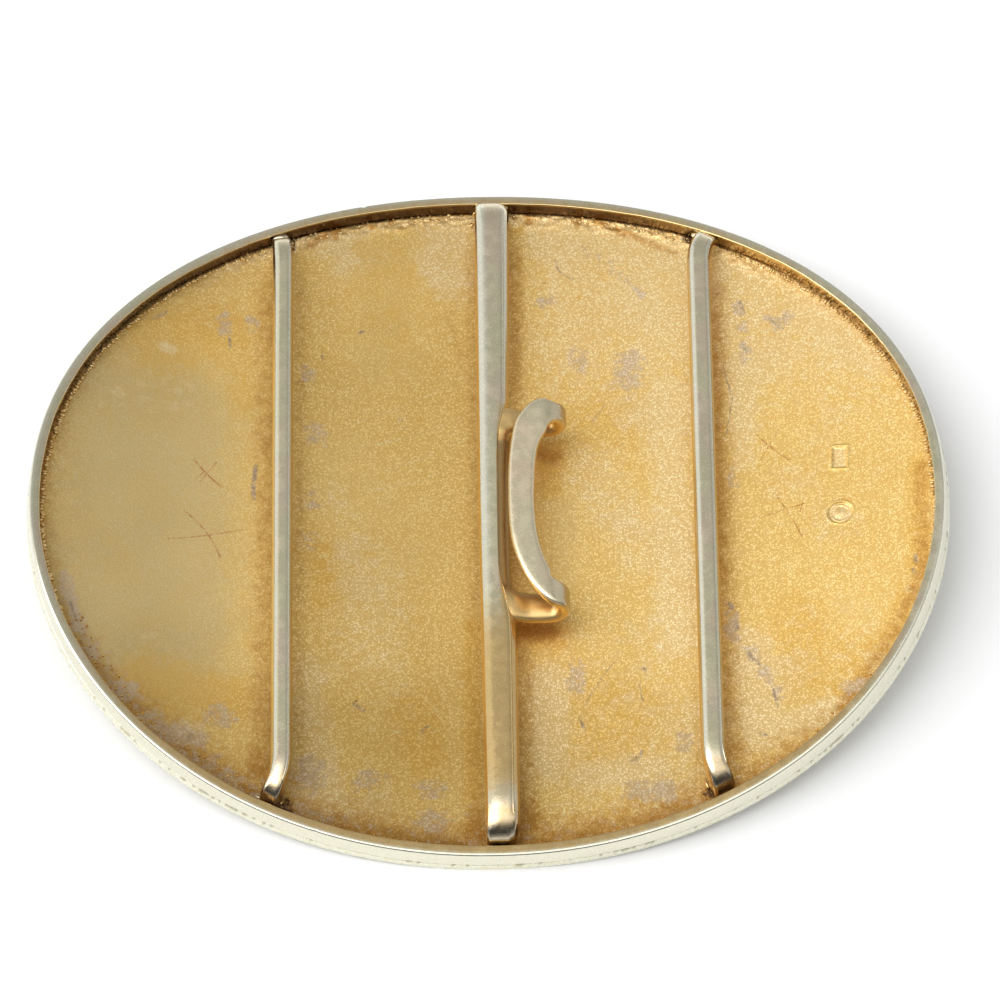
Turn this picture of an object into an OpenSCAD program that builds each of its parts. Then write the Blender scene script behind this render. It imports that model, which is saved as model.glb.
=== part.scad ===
// Oval silver-gilt belt buckle, lying on its front with the back up.
// X runs along the oval, Y across it and Z up. The origin is under the middle, on the surface.

/* [Oval outline] */
// Length of the buckle over the face plate
overall_length = 80; // [76:0.5:84]
// Width of the buckle over the face plate
overall_width = 66.4; // [65:0.2:69]
// Radius of the two tight ends of the oval
end_radius = 31; // [29:0.5:32]
// Radius of the convex front, bent to follow the waist
front_radius = 166; // [150:1:220]

/* [Face plate] */
// Thickness of the face plate
plate_thickness = 0.8; // [0.7:0.1:1]

/* [Rim] */
// Height of the rim above the back of the plate
rim_height = 1.7; // [1.5:0.1:2]
// Width of the rim's flat top
rim_width = 0.85; // [0.7:0.05:1.1]
// Seam between the rim and the plate
seam = 0.05; // [0.03:0.01:0.1]

/* [Side bars] */
// Distance from the middle of the buckle to the left bar
left_bar_x = 18.05; // [17:0.05:20]
// Width of the left bar
left_bar_width = 1.75; // [1.5:0.05:2]
// Distance from the middle of the buckle to the right bar
right_bar_x = 18.8; // [17:0.05:20]
// Width of the right bar
right_bar_width = 2; // [1.75:0.05:2.1]
// Thickness of a side bar
side_bar_thickness = 1.2; // [1.1:0.1:1.3]
// Height of a side bar's top above the surface
side_bar_top = 4.9; // [4.8:0.1:5.2]
// Outer radius of the bend at a side bar's ends
side_bar_bend = 2.2; // [2:0.1:2.4]

/* [Centre bar] */
// Distance of the centre bar from the middle of the buckle
centre_bar_x = 0.85; // [0.5:0.05:1.2]
// Turn of the centre bar away from the Y axis, in degrees
centre_bar_turn = 0.5; // [0:0.1:0.6]
// Width of the centre bar
centre_bar_width = 2.85; // [2.6:0.05:3.1]
// Thickness of the centre bar
centre_bar_thickness = 1.5; // [1.4:0.1:1.6]
// Height of the centre bar's top above the surface
centre_bar_top = 4.4; // [4.3:0.1:4.6]
// Outer radius of the bend at the centre bar's ends
centre_bar_bend = 2.6; // [2.4:0.1:2.7]

/* [Hook] */
// Thickness of the hook's sheet
hook_sheet = 1.15; // [1:0.05:1.2]
// Height of the underside of the hook's base above the surface
hook_base_z = 2.75; // [2.7:0.05:2.9]
// Outer radius of the curls that carry the bow
curl_radius = 1.8; // [1.7:0.05:1.9]
// Distance of the curls' axis from the middle of the buckle
curl_x = 5.15; // [5:0.05:5.3]
// Near and far side of the upper arm
upper_arm = [7.2, 9.7];
// Near and far side of the lower arm
lower_arm = [-11.05, -8.6];
// Right edge of the base strip beside the centre bar
base_right = 1.6; // [1.4:0.1:1.7]
// Right edge of the centre bar where it is filed away for the hook
filed_edge = 0.8; // [0.7:0.1:1]

/* [Hidden] */
$fn = 96;

// How far joined shapes run into each other
lap = 0.12;
// Height that clears the whole buckle
tall = 12;
half_length = overall_length / 2;
half_width = overall_width / 2;
plate_back_radius = front_radius - plate_thickness;
rim_foot_radius = plate_back_radius - seam;
rim_top_radius = plate_back_radius - rim_height;
// The walls stand square to the bent front at the two ends
wall_lean = asin(half_length / front_radius);
end_lift = front_radius - sqrt(pow(front_radius, 2) - pow(half_length, 2));

// Radius of the oval's long sides, a touch under the tangent one so that the arcs cross cleanly
function side_radius(a, b, r) = (b * b + pow(a - r, 2) - r * r) / (2 * (b - r)) - 0.3;

// Height of the plate's back at a distance from the middle
function plate_back(x) = front_radius - sqrt(pow(plate_back_radius, 2) - x * x);

// Place across the upright oval of a point in the leaning wall
function leaned_x(x, z) =
    half_length + (x - half_length) * cos(wall_lean) + (z - end_lift) * sin(wall_lean);

// Half width of the rim's opening at a distance from the middle and a height
function opening_y(x, z) =
    let (a = half_length - rim_width, b = half_width - rim_width, r = end_radius - rim_width)
    let (s = side_radius(a, b, r), join = (a - r) * s / (s - r), lx = leaned_x(x, z))
    lx < join ? sqrt(s * s - lx * lx) - (s - b) : sqrt(r * r - pow(lx - (a - r), 2));

// Turn of the rim's inner wall from the X axis at a distance from the middle and a height
function opening_turn(x, z) = atan(opening_y(x - 0.5, z) - opening_y(x + 0.5, z));

// Oval of four arcs
module oval(a, b, r) {
    s = side_radius(a, b, r);
    intersection() {
        translate([0, b - s]) circle(s);
        translate([0, s - b]) circle(s);
        square([2 * (a - r) * s / (s - r), 3 * b], center = true);
    }
    for (side = [-1, 1]) translate([side * (a - r), 0]) circle(r);
}

// Oval prism in two halves, each leaning in like the bent ends of the buckle
module leaning_oval(inset) {
    for (side = [0, 1])
        mirror([side, 0, 0])
            intersection() {
                translate([0, -half_width - 1, -1]) cube([half_length + 2, overall_width + 2, tall]);
                translate([half_length, 0, end_lift])
                    rotate([0, -wall_lean, 0])
                        translate([-half_length, 0, -2 * tall])
                            linear_extrude(4 * tall)
                                oval(half_length - inset, half_width - inset, end_radius - inset);
            }
}

// Shell between two radii about the bend's axis
module bent_shell(outer, inner) {
    translate([0, 0, front_radius])
        rotate([90, 0, 0])
            difference() {
                cylinder(r = outer, h = overall_width + 4, center = true);
                cylinder(r = inner, h = overall_width + 8, center = true);
            }
}

// Flat strip with a domed top, seen from its end, with its top at height 0
module strip_section(width, thickness) {
    crown = 0.35 * thickness;
    dome = (width * width / 4 + crown * crown) / (2 * crown);
    intersection() {
        translate([0, -dome]) circle(dome);
        translate([-width / 2, -thickness]) square([width, thickness]);
    }
}

// End of a strap bar that bends down and runs to the plate, with its top at height 0
module bar_end(width, thickness, bend, drop) {
    // Knuckle that lets the end turn square to the rim
    rotate_extrude()
        intersection() {
            strip_section(width, thickness);
            translate([0, -thickness]) square([width, thickness]);
        }
    translate([0, 0, -bend])
        rotate([90, 0, 90])
            rotate_extrude(angle = 90)
                translate([bend, 0]) rotate(-90) strip_section(width, thickness);
    translate([0, bend, -bend])
        mirror([0, 0, 1])
            linear_extrude(drop - bend) strip_section(width, thickness);
}

// Strap bar whose two ends stand on the plate against the rim
module strap_bar(x, top, width, thickness, bend) {
    foot_z = top - bend;
    turn = x == 0 ? 0 : opening_turn(abs(x), foot_z) * sign(x);
    // The turned ends reach the rim a little further out than the bar
    foot_x = abs(x) + bend * sin(abs(turn));
    reach = opening_y(foot_x, foot_z) - bend * cos(turn) + lap;
    drop = top - plate_back(foot_x + width / 2) - seam;
    translate([x, 0, top]) {
        translate([0, reach, 0])
            rotate([90, 0, 0])
                linear_extrude(2 * reach) strip_section(width, thickness);
        for (end = [0, 1])
            mirror([0, end, 0])
                translate([0, reach, 0])
                    rotate(-turn) bar_end(width, thickness, bend, drop);
    }
}

// Points of a quarter of an ellipse, from one angle to another
function bow_edge(centre, radii, from, to) =
    let (steps = 10)
    [for (i = [0:steps])
        let (t = from + (to - from) * i / steps)
        [centre[0] + radii[0] * cos(t), centre[1] + radii[1] * sin(t)]];

// Outline of the hook's bow, seen from above, with both horns running to the curls
function bow_outline() = concat(
    bow_edge([4.9, 3.0], [3.1, 6.4], 90, 180),
    bow_edge([6.9, -2.0], [5.1, 9.15], 180, 270),
    bow_edge([7.6, -2.5], [3.65, 7.1], 260, 180),
    bow_edge([6.9, 3.0], [2.95, 4.15], 180, 90));

// Rim with an oval opening, standing on the back of the plate
module rim() {
    intersection() {
        difference() {
            leaning_oval(0);
            leaning_oval(rim_width);
        }
        bent_shell(rim_foot_radius, rim_top_radius);
    }
}

module left_bar() {
    strap_bar(-left_bar_x, side_bar_top, left_bar_width, side_bar_thickness, side_bar_bend);
}

module right_bar() {
    strap_bar(right_bar_x, side_bar_top, right_bar_width, side_bar_thickness, side_bar_bend);
}

// Centre bar, filed narrow where the hook is let in
module centre_bar() {
    difference() {
        translate([centre_bar_x, 0, 0])
            rotate(centre_bar_turn)
                strap_bar(0, centre_bar_top, centre_bar_width, centre_bar_thickness, centre_bar_bend);
        translate([filed_edge, lower_arm[1], 0])
            cube([centre_bar_width, upper_arm[0] - lower_arm[1], tall]);
    }
}

// Sheet hook: a base strip and two arms that curl over into a bow
module hook() {
    base_left = -0.3;
    bow_z = hook_base_z + 2 * curl_radius - hook_sheet;
    translate([base_left, lower_arm[0], hook_base_z])
        cube([base_right - base_left, upper_arm[1] - lower_arm[0], hook_sheet]);
    for (arm = [upper_arm, lower_arm]) {
        translate([base_left, arm[0], hook_base_z])
            cube([curl_x - base_left, arm[1] - arm[0], hook_sheet]);
        translate([curl_x, arm[1], hook_base_z + curl_radius])
            rotate([90, 0, 0])
                rotate([0, 0, -90])
                    rotate_extrude(angle = 180)
                        translate([curl_radius - hook_sheet, 0]) square([hook_sheet, arm[1] - arm[0]]);
    }
    intersection() {
        translate([0, 0, bow_z]) linear_extrude(hook_sheet) polygon(bow_outline());
        translate([0, -half_width, 0]) cube([curl_x, overall_width, tall]);
    }
}

// Rim, bars and hook are soldered into one piece
module frame() {
    color("#b5ab8c") {
        rim();
        left_bar();
        centre_bar();
        right_bar();
        hook();
    }
}

// Bent sheet that carries the front and closes the back of the frame
module face_plate() {
    color("#c9a04e")
        intersection() {
            leaning_oval(0);
            bent_shell(front_radius, plate_back_radius);
        }
}

frame();
face_plate();
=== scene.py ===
# Oval silver-gilt belt buckle, lying on its front with the back up.
# Lengths are in millimetres until a mesh is made, where they are scaled to metres.
# X runs along the oval, Y across it and Z up.

import math

import bmesh
import bpy
import numpy as np
from mathutils import Matrix, Vector, noise


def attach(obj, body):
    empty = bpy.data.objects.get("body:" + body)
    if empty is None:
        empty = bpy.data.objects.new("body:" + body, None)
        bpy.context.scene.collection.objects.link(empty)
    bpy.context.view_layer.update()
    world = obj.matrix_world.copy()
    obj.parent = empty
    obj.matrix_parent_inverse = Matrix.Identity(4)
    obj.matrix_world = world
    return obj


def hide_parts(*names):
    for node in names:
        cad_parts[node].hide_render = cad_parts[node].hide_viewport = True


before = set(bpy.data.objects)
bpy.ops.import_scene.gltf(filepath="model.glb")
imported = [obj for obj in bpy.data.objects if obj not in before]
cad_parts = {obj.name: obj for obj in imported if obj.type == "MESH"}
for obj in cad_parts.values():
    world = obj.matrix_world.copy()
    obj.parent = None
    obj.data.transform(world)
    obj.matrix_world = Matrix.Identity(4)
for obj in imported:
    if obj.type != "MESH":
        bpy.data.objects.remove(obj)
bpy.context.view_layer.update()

MM = 0.001

# Oval outline and the bend of the front
HALF_LENGTH = 40.0
HALF_WIDTH = 33.2
OVAL_POWER = 2.08
FRONT_RADIUS = 166.0

# Heights above the front, square to it
PLATE = 0.8
SEAM = 0.05
RIM_FOOT = PLATE + SEAM
RIM_TOP = PLATE + 1.7
RIM_WIDTH = 0.85

AROUND = 720

# Places of the strap bars' two bends in plan, far one first
LEFT_BAR = ((-18.15, 25.75), (-17.6, -25.45))
RIGHT_BAR = ((18.92, 25.8), (18.85, -24.75))
CENTRE_BAR = ((0.6, 29.5), (1.12, -28.95))

# Colours of the plate's gilding
GOLD = (0.92, 0.69, 0.285, 1)
OLIVE_GOLD = (0.74, 0.585, 0.29, 1)
DEEP_GOLD = (0.85, 0.555, 0.145, 1)
CREAM_GOLD = (0.95, 0.785, 0.49, 1)
BROWN_GOLD = (0.60, 0.33, 0.09, 1)
TARNISH = (0.70, 0.575, 0.45, 1)
# Colours of the frame's metal
SILVER = (0.855, 0.845, 0.70, 1)
GREEN_SILVER = (0.78, 0.735, 0.50, 1)
MAUVE_SILVER = (0.83, 0.71, 0.52, 1)
WORN_GOLD = (0.78, 0.56, 0.25, 1)
ORANGE_GOLD = (0.86, 0.57, 0.21, 1)
DIRT = (0.10, 0.055, 0.03, 1)
RUST = (0.45, 0.12, 0.05, 1)
SHADE_BROWN = (0.09, 0.045, 0.03, 1)
SEAM_BROWN = (0.34, 0.29, 0.18, 1)
# Colours of the hook's rubbed metal
HOOK_WARM = (0.95, 0.79, 0.56, 1)
HOOK_COOL = (0.88, 0.79, 0.55, 1)
# Tints of dark grains and of light grains, whose bluish white is partly painted glints, and of the painted
# shade over stretches of the plate
DARK_GRAIN = (0.82, 0.73, 0.55, 1)
GRAIN_AND_PAINTED_GLINT = (1.15, 1.2, 1.32, 1)
PAINTED_SHADE_TINT = (0.62, 0.60, 0.54, 1)


def soft_step(low, high, value):
    """0 up to low and 1 from high, with a soft rise between."""
    share = np.clip((np.asarray(value, float) - low) / (high - low), 0, 1)
    return share * share * (3 - 2 * share)


def ripple(points, size, shift=0.0):
    """Smooth noise from about -1 to 1 at points in millimetres."""
    places = [Vector((x / size + shift, y / size, z / size - shift)) for x, y, z in points]
    return np.array([noise.noise(place) for place in places])


# Oval and bend

def oval_outline(count):
    """Points and outward normals of the oval, evenly spaced along it."""
    turn = np.linspace(0, 2 * math.pi, 40001)
    power = 2 / OVAL_POWER
    x = HALF_LENGTH * np.sign(np.cos(turn)) * np.abs(np.cos(turn)) ** power
    y = HALF_WIDTH * np.sign(np.sin(turn)) * np.abs(np.sin(turn)) ** power
    run = np.concatenate([[0], np.cumsum(np.hypot(np.diff(x), np.diff(y)))])
    at = np.arange(count) * run[-1] / count
    px = np.interp(at, run, x)
    py = np.interp(at, run, y)
    nx = np.sign(px) * np.abs(px / HALF_LENGTH) ** (OVAL_POWER - 1) / HALF_LENGTH
    ny = np.sign(py) * np.abs(py / HALF_WIDTH) ** (OVAL_POWER - 1) / HALF_WIDTH
    size = np.hypot(nx, ny)
    return np.stack([px, py], 1), np.stack([nx / size, ny / size], 1)


def clock(points):
    """Angle round the oval in degrees: 0 right, 90 far, 180 left, 270 near."""
    return np.degrees(np.arctan2(points[:, 1] / HALF_WIDTH, points[:, 0] / HALF_LENGTH)) % 360


def arc_share(angle, start, end, soft=8.0):
    """1 between two angles round the oval and 0 outside, with soft ends."""
    middle = (start + end) / 2
    away = np.abs((angle - middle + 180) % 360 - 180)
    half = (end - start) / 2
    return 1 - soft_step(half - soft, half + soft, away)


def ridge(gap, width):
    """1 at a gap of 0, fading evenly on both sides over a width."""
    return np.exp(-np.square(gap / width))


def plate_back(x):
    """Height of the plate's back at a distance from the middle."""
    return FRONT_RADIUS - np.sqrt((FRONT_RADIUS - PLATE) ** 2 - np.square(x))


def wall(points, normals, inward, height):
    """Ring of points inside the outline and above the front, square to the bend."""
    lean = np.arcsin(points[:, 0] / FRONT_RADIUS)
    z = FRONT_RADIUS * (1 - np.cos(lean))
    x = points[:, 0] - inward * normals[:, 0] * np.cos(lean) - height * np.sin(lean)
    y = points[:, 1] - inward * normals[:, 1]
    z = z - inward * normals[:, 0] * np.sin(lean) + height * np.cos(lean)
    return np.stack([x, y, z], 1)


# Mesh making

def make_piece(name, points, faces, material, slot, replaced, **values):
    """Mesh object at the origin from points in millimetres, with values that its material reads."""
    mesh = bpy.data.meshes.new(name)
    mesh.from_pydata((np.asarray(points) * MM).tolist(), [], faces)
    mesh.validate()
    mesh.shade_smooth()
    for label, numbers in values.items():
        store(mesh, label, numbers)
    finish_piece(name, mesh, material, replaced)


def store(mesh, name, values):
    """Keep a value for each point of a mesh, for its material to read."""
    layer = mesh.attributes.new(name, "FLOAT", "POINT")
    layer.data.foreach_set("value", np.asarray(values, dtype=np.float32))


def finish_piece(name, mesh, material, replaced):
    """Object at the origin for a finished mesh, riding on the buckle and standing for its solid."""
    mesh.materials.clear()
    mesh.materials.append(material)
    piece = bpy.data.objects.new(name, mesh)
    bpy.context.scene.collection.objects.link(piece)
    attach(piece, "root")
    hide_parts(replaced)


def rounded_profile(corners, radii, steps=6):
    """Closed outline in two dimensions whose corners are rounded with arcs."""
    outline = []
    count = len(corners)
    for i in range(count):
        here = Vector(corners[i])
        back = (Vector(corners[i - 1]) - here).normalized()
        ahead = (Vector(corners[(i + 1) % count]) - here).normalized()
        half = back.angle(ahead) / 2
        reach = radii[i] / math.tan(half)
        centre = here + (back + ahead).normalized() * radii[i] / math.sin(half)
        start = here + back * reach - centre
        end = here + ahead * reach - centre
        sweep = start.angle_signed(end)
        for k in range(steps + 1):
            part = Matrix.Rotation(-sweep * k / steps, 2) @ start
            outline.append(tuple(centre + part))
    return outline


def split_long(outline, longest):
    """Closed outline with points added so that no side is longer than a length."""
    result = []
    for here, ahead in zip(outline, outline[1:] + outline[:1]):
        parts = max(1, math.ceil(math.dist(here, ahead) / longest))
        for k in range(parts):
            result.append(tuple(a + (b - a) * k / parts for a, b in zip(here, ahead)))
    return result


def grid_faces(rows, columns, close_rows=False, flip=False):
    """Quads of a grid of points numbered row by row, closed along each row."""
    faces = []
    for r in range(rows if close_rows else rows - 1):
        for c in range(columns):
            below = (r + 1) % rows * columns
            after = (c + 1) % columns
            face = (r * columns + c, r * columns + after, below + after, below + c)
            faces.append(face[::-1] if flip else face)
    return faces


def smooth_loop(knots, steps):
    """Closed smooth curve through knots of any dimension, with equal steps between them."""
    knots = np.asarray(knots, float)
    curve = []
    for i in range(len(knots)):
        a, b, c, d = (knots[(i + k) % len(knots)] for k in (-1, 0, 1, 2))
        for t in np.arange(steps) / steps:
            curve.append(0.5 * (2 * b + (c - a) * t + (2 * a - 5 * b + 4 * c - d) * t ** 2
                                + (3 * b - a - 3 * c + d) * t ** 3))
    return np.array(curve)


# Node helpers

def put(tree, kind, inputs=None, **settings):
    """New node; an input that is given as a socket is linked."""
    made = tree.nodes.new(kind)
    for name, value in settings.items():
        setattr(made, name, value)
    for name, value in (inputs or {}).items():
        if isinstance(value, bpy.types.NodeSocket):
            tree.links.new(value, made.inputs[name])
        else:
            made.inputs[name].default_value = value
    return made


def calc(tree, operation, *values):
    """Result of a sum on numbers."""
    made = put(tree, "ShaderNodeMath", dict(enumerate(values)), operation=operation)
    return made.outputs[0]


def plus(tree, a, b):
    """Sum of two values."""
    return calc(tree, "ADD", a, b)


def minus(tree, a, b):
    """First value less the second."""
    return calc(tree, "SUBTRACT", a, b)


def times(tree, a, b):
    """Product of two values."""
    return calc(tree, "MULTIPLY", a, b)


def steer(tree, operation, *values):
    """Result of a sum on vectors."""
    names = (0, "Scale") if operation == "SCALE" else (0, 1)
    made = put(tree, "ShaderNodeVectorMath", dict(zip(names, values)), operation=operation)
    return made.outputs["Value" if operation in ("DOT_PRODUCT", "LENGTH") else "Vector"]


def rise(tree, value, low, high, start=0.0, end=1.0):
    """Soft change from start to end while a value goes from low to high."""
    made = put(tree, "ShaderNodeMapRange", interpolation_type="SMOOTHSTEP", inputs={
        "Value": value, "From Min": low, "From Max": high, "To Min": start, "To Max": end})
    return made.outputs["Result"]


def mixed(tree, share, under, over, mode="MIX"):
    """Colour over another by a share."""
    made = put(tree, "ShaderNodeMix", {0: share, 6: under, 7: over}, data_type="RGBA", blend_type=mode)
    return made.outputs[2]


def stored(tree, name):
    """Value that the mesh holds at each point."""
    return put(tree, "ShaderNodeAttribute", attribute_name=name).outputs["Fac"]


def new_group(name, inputs, outputs):
    """Shader node group with named inputs and outputs."""
    tree = bpy.data.node_groups.new(name, "ShaderNodeTree")
    for label, value in inputs.items():
        kind = "NodeSocketVector" if isinstance(value, tuple) else "NodeSocketFloat"
        tree.interface.new_socket(label, in_out="INPUT", socket_type=kind).default_value = value
    for label in outputs:
        tree.interface.new_socket(label, in_out="OUTPUT", socket_type="NodeSocketFloat")
    return tree, tree.nodes.new("NodeGroupInput").outputs, tree.nodes.new("NodeGroupOutput").inputs


def use_group(tree, group, **inputs):
    """Outputs of a node group placed in a material."""
    return put(tree, "ShaderNodeGroup", inputs, node_tree=group).outputs


def clouds(tree, scale, shift, low, high):
    """Cloudy mask of its own."""
    return use_group(tree, cloud, Scale=scale, Shift=(shift, 0, 0), Low=low - 0.5, High=high - 0.5)["Mask"]


def ragged(tree, value, scale, shift, spread, low, high):
    """Mask that follows a value, with a ragged edge."""
    place = {"Scale": scale, "Shift": (0, shift, 0)}
    return use_group(tree, cloud, Value=value, Spread=spread, Low=low, High=high, **place)["Mask"]


def noise_at(tree, place, scale, detail, roughness):
    """Cloudy noise at a place."""
    given = {"Vector": place, "Scale": scale, "Detail": detail, "Roughness": roughness}
    return put(tree, "ShaderNodeTexNoise", given).outputs["Fac"]


# Shared surface effects

def build_grain():
    """Fine grain of matte gilding: its relief, and a value that differs from grain to grain."""
    tree, given, result = new_group("fine grain", {"Scale": 7000.0}, ["Height", "Sparkle"])
    place = put(tree, "ShaderNodeTexCoord").outputs["Object"]
    soft = noise_at(tree, place, times(tree, given["Scale"], 1.3), 2.0, 0.7)
    cells = put(tree, "ShaderNodeTexVoronoi", {"Vector": place, "Scale": given["Scale"], "Randomness": 1.0})
    tree.links.new(minus(tree, soft, cells.outputs["Distance"]), result["Height"])
    glint = put(tree, "ShaderNodeSeparateColor", {"Color": cells.outputs["Color"]}).outputs[0]
    speck = rise(tree, cells.outputs["Distance"], 0.55, 0.1)
    tree.links.new(plus(tree, times(tree, glint, 0.45), times(tree, speck, 0.55)), result["Sparkle"])
    return tree


def build_cloud():
    """Cloudy mask with a soft or a sharp edge, which can follow a value that is given."""
    inputs = {"Scale": 100.0, "Shift": (0.0, 0.0, 0.0), "Value": 0.0, "Spread": 1.0}
    inputs.update({"Low": 0.45, "High": 0.6})
    tree, given, result = new_group("cloud", inputs, ["Mask"])
    place = put(tree, "ShaderNodeTexCoord").outputs["Object"]
    soft = noise_at(tree, steer(tree, "ADD", place, given["Shift"]), given["Scale"], 4.0, 0.65)
    wave = times(tree, minus(tree, soft, 0.5), given["Spread"])
    tree.links.new(rise(tree, plus(tree, given["Value"], wave), given["Low"], given["High"]), result["Mask"])
    return tree


def build_scratch():
    """Thin scratch between two places on the plate, bowed to one side."""
    inputs = {"From": (0.0, 0.0, 0.0), "To": (0.01, 0.0, 0.0), "Width": 0.0001, "Bow": 0.0}
    tree, given, result = new_group("scratch line", inputs, ["Mask"])
    place = put(tree, "ShaderNodeTexCoord").outputs["Object"]
    offset = steer(tree, "SUBTRACT", steer(tree, "MULTIPLY", place, (1, 1, 0)), given["From"])
    line = steer(tree, "SUBTRACT", given["To"], given["From"])
    along = steer(tree, "DOT_PRODUCT", offset, line)
    share = calc(tree, "DIVIDE", along, steer(tree, "DOT_PRODUCT", line, line))
    share = put(tree, "ShaderNodeClamp", {"Value": share}).outputs[0]
    arch = times(tree, share, minus(tree, 4.0, times(tree, share, 4.0)))
    hump = times(tree, arch, given["Bow"])
    side = steer(tree, "NORMALIZE", steer(tree, "CROSS_PRODUCT", line, (0, 0, 1)))
    nearest = steer(tree, "ADD", steer(tree, "SCALE", line, share), steer(tree, "SCALE", side, hump))
    away = steer(tree, "LENGTH", steer(tree, "SUBTRACT", offset, nearest))
    gap = calc(tree, "DIVIDE", away, given["Width"])
    tree.links.new(rise(tree, gap, 0.55, 0.2), result["Mask"])
    return tree


fine_grain = build_grain()
cloud = build_cloud()
scratch_line = build_scratch()


def scratches(tree, rows):
    """Mask of several scratches, each given by its ends, width and bow in millimetres."""
    total = None
    for start, end, width, bow in rows:
        ends = {name: (x * MM, y * MM, 0) for name, (x, y) in (("From", start), ("To", end))}
        mask = use_group(tree, scratch_line, Width=width * MM, Bow=bow * MM, **ends)["Mask"]
        total = mask if total is None else calc(tree, "MAXIMUM", total, mask)
    return total


# Crossed marks that were scratched into the gilding: two ends, width and bow
CROSSES = [
    ((-25.8, 5.7), (-23.3, 3.0), 0.2, 0.1), ((-23.8, 5.5), (-25.2, 3.4), 0.13, 0),
    ((-25.7, 3.5), (-24.9, 4.4), 0.1, 0), ((-26.5, 0.4), (-23.3, -4.0), 0.16, -0.4),
    ((-27.8, -2.5), (-21.4, -1.1), 0.15, 0.15), ((23.6, 7.7), (26.4, 4.8), 0.16, 0.1),
    ((25.7, 8.2), (23.8, 5.0), 0.12, 0), ((24.9, 1.7), (27.2, -3.0), 0.16, -0.1),
    ((23.6, -0.7), (27.5, 0.3), 0.13, 0), ((27.1, -0.5), (27.4, 0.5), 0.1, 0),
]
RUBBED_LINES = [
    ((-11.8, 10.2), (-1.9, 15.2), 0.26, 0.35), ((-12.2, 7.7), (-2.4, 10.9), 0.24, 0.6),
    ((-9.2, 5.3), (-2.0, 8.6), 0.24, 0.25), ((-10.4, 3.3), (-4.2, 5.1), 0.3, 0.25),
    ((-3.6, 8.9), (-2.2, 10.8), 0.18, 0), ((-15.9, -5.4), (-10.8, -3.9), 0.28, -0.15),
    ((-17.0, -13.6), (-15.2, -12.8), 0.28, 0), ((-6.0, -6.2), (-5.7, -7.2), 0.18, 0),
    ((-5.5, 17.8), (-3.1, 19.2), 0.14, 0.1),
]
# Dark cuts and small dark marks
DARK_MARKS = [
    ((-20.35, 5.3), (-20.5, 2.0), 0.55, 0.1), ((20.9, 15.0), (21.6, 11.6), 0.16, 0),
    ((21.6, 11.6), (21.0, 8.0), 0.14, 0), ((10.7, -14.1), (8.1, -18.2), 0.16, 0.1),
    ((10.3, 11.6), (9.3, 10.2), 0.16, 0), ((6.2, 27.1), (7.7, 25.1), 0.26, 0.4),
    ((-5.9, -20.7), (-5.2, -20.0), 0.3, -0.15), ((-11.6, -17.9), (-10.8, -18.5), 0.45, 0),
    ((12.0, -23.7), (12.9, -22.8), 0.42, 0.2), ((-11.4, 19.5), (-11.1, 19.7), 0.4, 0),
    ((-14.7, 17.0), (-14.6, 16.6), 0.3, 0), ((13.2, -14.8), (13.5, -15.1), 0.4, 0),
    ((12.9, -16.0), (13.1, -18.0), 0.16, 0.1), ((-25.4, -21.6), (-25.6, -22.0), 0.6, 0),
    ((-23.4, -23.3), (-23.1, -23.5), 0.5, 0), ((7.7, -19.4), (8.0, -20.4), 0.35, 0),
    ((-29.6, 19.9), (-28.6, 20.6), 0.5, 0), ((-22.9, 18.3), (-22.8, 17.4), 0.35, 0),
    ((25.2, 19.5), (26.2, 18.4), 0.35, 0.1), ((22.6, 21.6), (22.9, 20.4), 0.4, 0),
    ((22.7, 17.3), (22.9, 16.6), 0.5, 0), ((20.7, -9.0), (20.9, -9.4), 0.55, 0),
    ((21.2, -10.8), (21.3, -11.5), 0.6, 0), ((22.3, -14.0), (23.2, -15.2), 0.4, 0.1),
    ((24.2, -17.6), (24.5, -19.3), 0.3, 0), ((23.0, -21.8), (23.4, -22.0), 0.4, 0),
    ((-35.9, -9.6), (-35.3, -11.4), 0.3, 0), ((36.7, -6.1), (36.8, -6.6), 0.5, 0),
    ((36.5, -7.3), (36.6, -7.6), 0.45, 0),
]


# The plate's marks, each with the strength and the colour of its tints
MARKS = [
    (DARK_MARKS, [(0.8, TARNISH), (0.35, DIRT)]),
    (CROSSES, [(0.7, RUST)]),
    (RUBBED_LINES, [(0.5, CREAM_GOLD)]),
]
# Grains across a metre of the plate and of the frame, and the depth of their relief in metres
PLATE_GRAIN = 5600.0
FRAME_GRAIN = 6500.0
GRAIN_DEPTH = 0.00002


def new_metal(name):
    """Metal material with its node tree and its shader."""
    material = bpy.data.materials.new(name)
    material.use_nodes = True
    shader = material.node_tree.nodes["Principled BSDF"]
    shader.inputs["Metallic"].default_value = 1
    return material, material.node_tree, shader


def add_relief(tree, shader, height, strength):
    """Fine relief of a surface."""
    bump = put(tree, "ShaderNodeBump", {"Height": height, "Strength": strength, "Distance": GRAIN_DEPTH})
    tree.links.new(bump.outputs["Normal"], shader.inputs["Normal"])


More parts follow.
